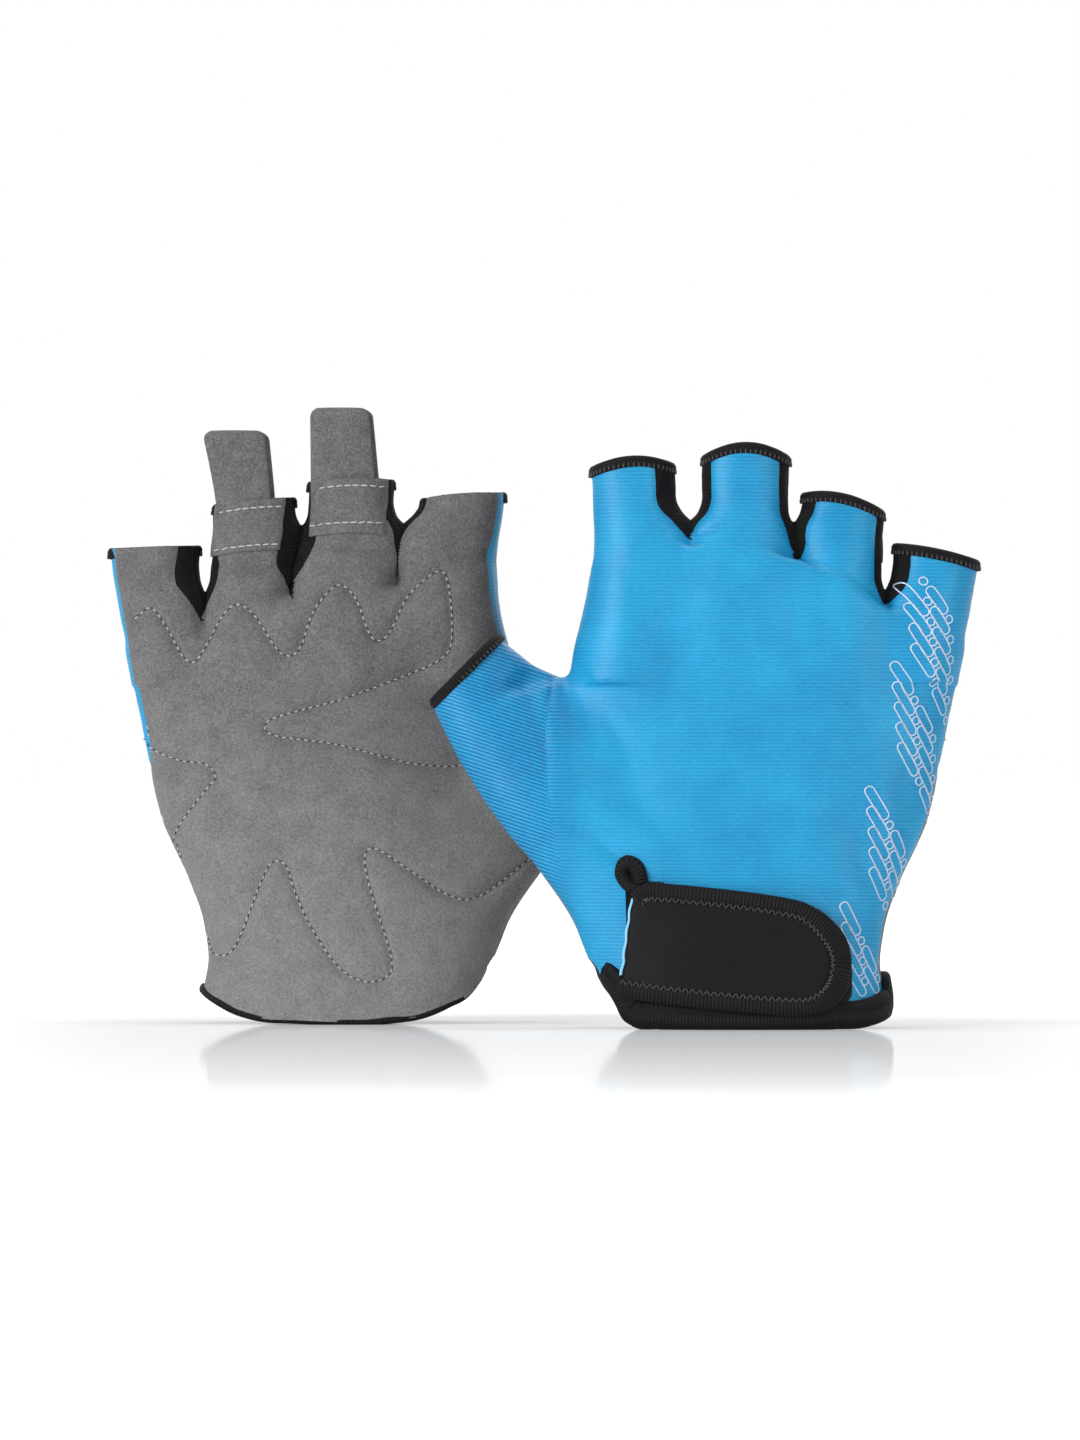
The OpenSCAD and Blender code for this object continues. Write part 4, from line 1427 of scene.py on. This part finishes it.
def pull_tab(glove, name):
    """A suede strip that rises from behind the patch, turns over and comes down again as a loop."""
    tab = TABS[name]
    upright = glove["palm_front"]
    radius = TAB_REACH / 2 - TAB_THICK / 2
    tall = TAB_TALL - radius
    leg = [(0.25 * math.sin(z / 3), z) for z in np.linspace(1.2, tall, 16)]
    arch = [(radius * (math.cos(t) - 1), tall + radius * math.sin(t)) for t in np.linspace(0.2, math.pi - 0.2, 12)]
    back = [(-2 * radius - 0.5 * math.sin(math.pi * u), tall * (1 - u) + 0.6 * u) for u in np.linspace(0, 1, 16)]
    line = np.array(leg + arch + back)
    share = line[:, 1] / TAB_TALL
    corner = np.clip((line[:, 1] - TAB_TALL + 2.4) / 2.4, 0, 1)
    turned = ease(-line[:, 0], radius, 2 * radius)
    middle = np.zeros(len(line))
    if upright:
        middle = tab["middle"][0] + (tab["middle"][1] - tab["middle"][0]) * share - tab["hinge"][0] - 1.5 * turned
        foot = [(-1.7, -3.2), (-1.1, -1.6), (-0.5, -0.2)]
    else:
        c, s = math.cos(math.radians(-FOLDED)), math.sin(math.radians(-FOLDED))
        line = line @ np.array([[c, -s], [s, c]]).T
        foot = [(-1.5, -3.0), (-1.2, -1.2), (-0.8, 0.1), (-0.2, 0.7), (0.5, 0.5)]
    line = np.concatenate([foot, line])
    share = np.concatenate([np.zeros(len(foot)), share])
    middle = np.concatenate([np.full(len(foot), middle[0]), middle])
    turned = np.concatenate([np.zeros(len(foot)), turned])
    corner = np.concatenate([np.zeros(len(foot)), corner])
    path = np.stack([middle, line[:, 0], line[:, 1]], 1)
    ends = np.concatenate([path[:1], path, path[-1:]])
    along = unit((ends[2:] - ends[:-2]) * np.array([0, 1, 1]))
    outward = np.stack([0 * share, along[:, 2], -along[:, 1]], 1)
    half = (tab["width"][0] + (tab["width"][1] - tab["width"][0]) * share) / 2 * (1 - 0.05 * turned)
    half = half - 1.9 * (1 - np.sqrt(1 - corner**2))
    t = TAB_THICK / 2
    shape = [(-1, -t * 0.4), (-1, t * 0.4), (-0.94, t), (-0.5, t * 1.15), (0, t * 1.2), (0.5, t * 1.15), (0.94, t),
             (1, t * 0.4), (1, -t * 0.4), (0.94, -t), (0, -t), (-0.94, -t)]
    profile = [[(a * w, o) for a, o in shape] for w in half]
    points, faces, corners = sweep(path, outward, profile, level=True)
    lean = 0.0 if upright else math.radians(tab["tilt"])
    turn = np.array([[math.cos(lean), 0, math.sin(lean)], [0, 1, 0], [-math.sin(lean), 0, math.cos(lean)]])
    x, y, z = tab["hinge"]
    points = points @ turn.T + np.array([x, y - 0.9, z - glove["tab_drop"][name]])
    piece = make_piece(glove, name + "_pull_tab", points, faces, "palm_suede", corners=corners)
    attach(piece, glove["name"] + "_" + name + "_pull_tab")
    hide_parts(glove["name"] + "_" + name + "_pull_tab")


# ---------------------------------------------------------------- palm stitches, pads and print

def palm_stitches(glove):
    groups = [row_on(glove, keys, 1, 1.05, 0.1, 0.12) for keys in QUILT.values()]
    add_stitches(glove, "palm_stitches", groups, "hand", ("stitch_thread", "dark_thread"), length=1.2, width=0.36,
                 height=0.24)


# Foam pads under the palm, as (middle x, middle z, half width, half height, lean in degrees)
PADS = [(46, 93, 7, 7.5, 10), (22, 99, 7.5, 8, 0), (-5, 100, 7.5, 8, 0), (-29, 105, 7.5, 8.5, 0), (36, 54, 7, 13, -8),
        (-27, 79, 13, 8, 25), (-29, 43, 9, 13, 10), (9, 31, 9, 13, 8)]


def palm_pads(glove):
    points, faces = [], []
    for px, pz, half_x, half_z, lean in PADS:
        c, s = math.cos(math.radians(lean)), math.sin(math.radians(lean))
        u, v = np.meshgrid(np.linspace(-1, 1, 13), np.linspace(-1, 1, 13), indexing="ij")
        squeeze = 1 - 0.16 * (u * v) ** 2
        a, b = u * half_x * squeeze, v * half_z * squeeze
        flat = np.stack([px + a * c - b * s, pz + a * s + b * c], -1)
        places, normals = on_glove(glove, flat.reshape(-1, 2), 1, -FABRIC - 0.7)
        front, outward = places.reshape(13, 13, 3), normals.reshape(13, 13, 3)
        more, cells = plate(front[::-1], outward[::-1], 1.7, 0.4)
        faces += [tuple(n + len(points) for n in f) for f in cells]
        points += more.tolist()
    piece = make_piece(glove, "palm_pads", np.array(points), faces, "foam_pad")
    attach(piece, glove["name"] + "_hand")
    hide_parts(glove["name"] + "_palm_pads")


# Printed lanes slant down round the little-finger edge: where each group's first lane starts, as (x, z), and
# its number of lanes; and the marks in a lane, as (kind, start, end) along it
PRINT_GROUPS = {"pinky": [(43.2, 134.5, 6)], "hand": [(40.4, 101.5, 5), (32.6, 67, 5), (25.4, 35, 4)]}
LANE_MARKS = [("pill", 0, 10.6), ("ring", 11.5, 13.7), ("pill", 14.6, 23.2), ("ring", 24.1, 26.3)]
LANE_SLANT = -57
LANE_PITCH = 5.6
PRINT_VIEW = 25


def on_side(glove, x, z):
    """Places on the back and round the little-finger edge, seen a little from that side, or None."""
    turn = math.radians(PRINT_VIEW)
    into = Vector((-math.sin(turn), math.cos(turn), 0))
    places, normals = [], []
    for a, b in zip(x, z):
        start = Vector((a * math.cos(turn), a * math.sin(turn), b)) - into * 60
        hit, normal, _, _ = glove["tree"].ray_cast(start, into)
        if hit is None or hit.y > 4.5:
            return None
        places.append(hit)
        normals.append(-normal if normal.dot(into) > 0 else normal)
    return np.array(places, float), np.array(normals, float)


def printed_marks(glove):
    """Capsule outlines and small rings, in slanting lanes."""
    line = [(-0.19, -0.2), (-0.19, 0.05), (0.19, 0.05), (0.19, -0.2)]
    slant, turn = math.radians(LANE_SLANT), math.radians(PRINT_VIEW)
    circle = np.linspace(0, 2 * math.pi, 44, endpoint=False)
    for body, groups in PRINT_GROUPS.items():
        points, faces = [], []
        for x, z, lanes in groups:
            for lane in range(lanes):
                first = x * math.cos(turn) - 12 * math.sin(turn) + 0.5 * lane
                for kind, start, end in LANE_MARKS:
                    radius = 1.3 if kind == "pill" else 1.05
                    half = (end - start) / 2 - radius
                    along = np.cos(circle) * radius + np.sign(np.cos(circle)) * half + (start + end) / 2
                    side = np.sin(circle) * radius
                    a = first + along * math.cos(slant) * math.cos(turn) - side * math.sin(slant)
                    b = z - lane * LANE_PITCH + along * math.sin(slant) + side * math.cos(slant)
                    a, b = resample(np.stack([np.append(a, a[0]), np.append(b, b[0])], 1), 48)[:-1].T
                    laid = on_side(glove, a, b) if b.max() < tip_height("pinky", 55, glove) - 2.9 else None
                    if laid is None or b.min() < 9:
                        continue
                    more, cells, _ = sweep(laid[0] + laid[1] * 0.1, laid[1], line, True)
                    faces += [tuple(n + len(points) for n in f) for f in cells]
                    points += more.tolist()
        piece = make_piece(glove, "edge_print_" + body, np.array(points), faces, "reflective_print")
        fasten(piece, glove, body)


def make_details(glove):
    finger_tapes(glove)
    thumb_tape(glove)
    wrist_tape(glove)
    slit_tape(glove)
    make_strap(glove)
    hook_and_loop(glove)
    for name in TABS:
        finger_patch(glove, name)
        pull_tab(glove, name)
    palm_stitches(glove)
    palm_pads(glove)
    printed_marks(glove)


GLOVES = [
    {**glove_frame("glove_a", -1), "palm_front": True, "arch": 0.3,
     "tips": {"index": (149.4, 147.8), "middle": (153, 152.4), "ring": (148, 146), "pinky": (134.4, 133.6)},
     "tab_drop": {"middle": 9, "ring": 1}, "lean": 3.0, "droop": 6.5, "strap_rise": 3.0, "band_turn": -9.0},
    {**glove_frame("glove_b", 1), "palm_front": False, "arch": 1.0, "tips": {},
     "tab_drop": {"middle": 2.4, "ring": 1.2}, "lean": 0.0, "droop": 0.0, "strap_rise": 0.0, "band_turn": 12.0},
]
for each in GLOVES:
    make_body(each)
    make_details(each)
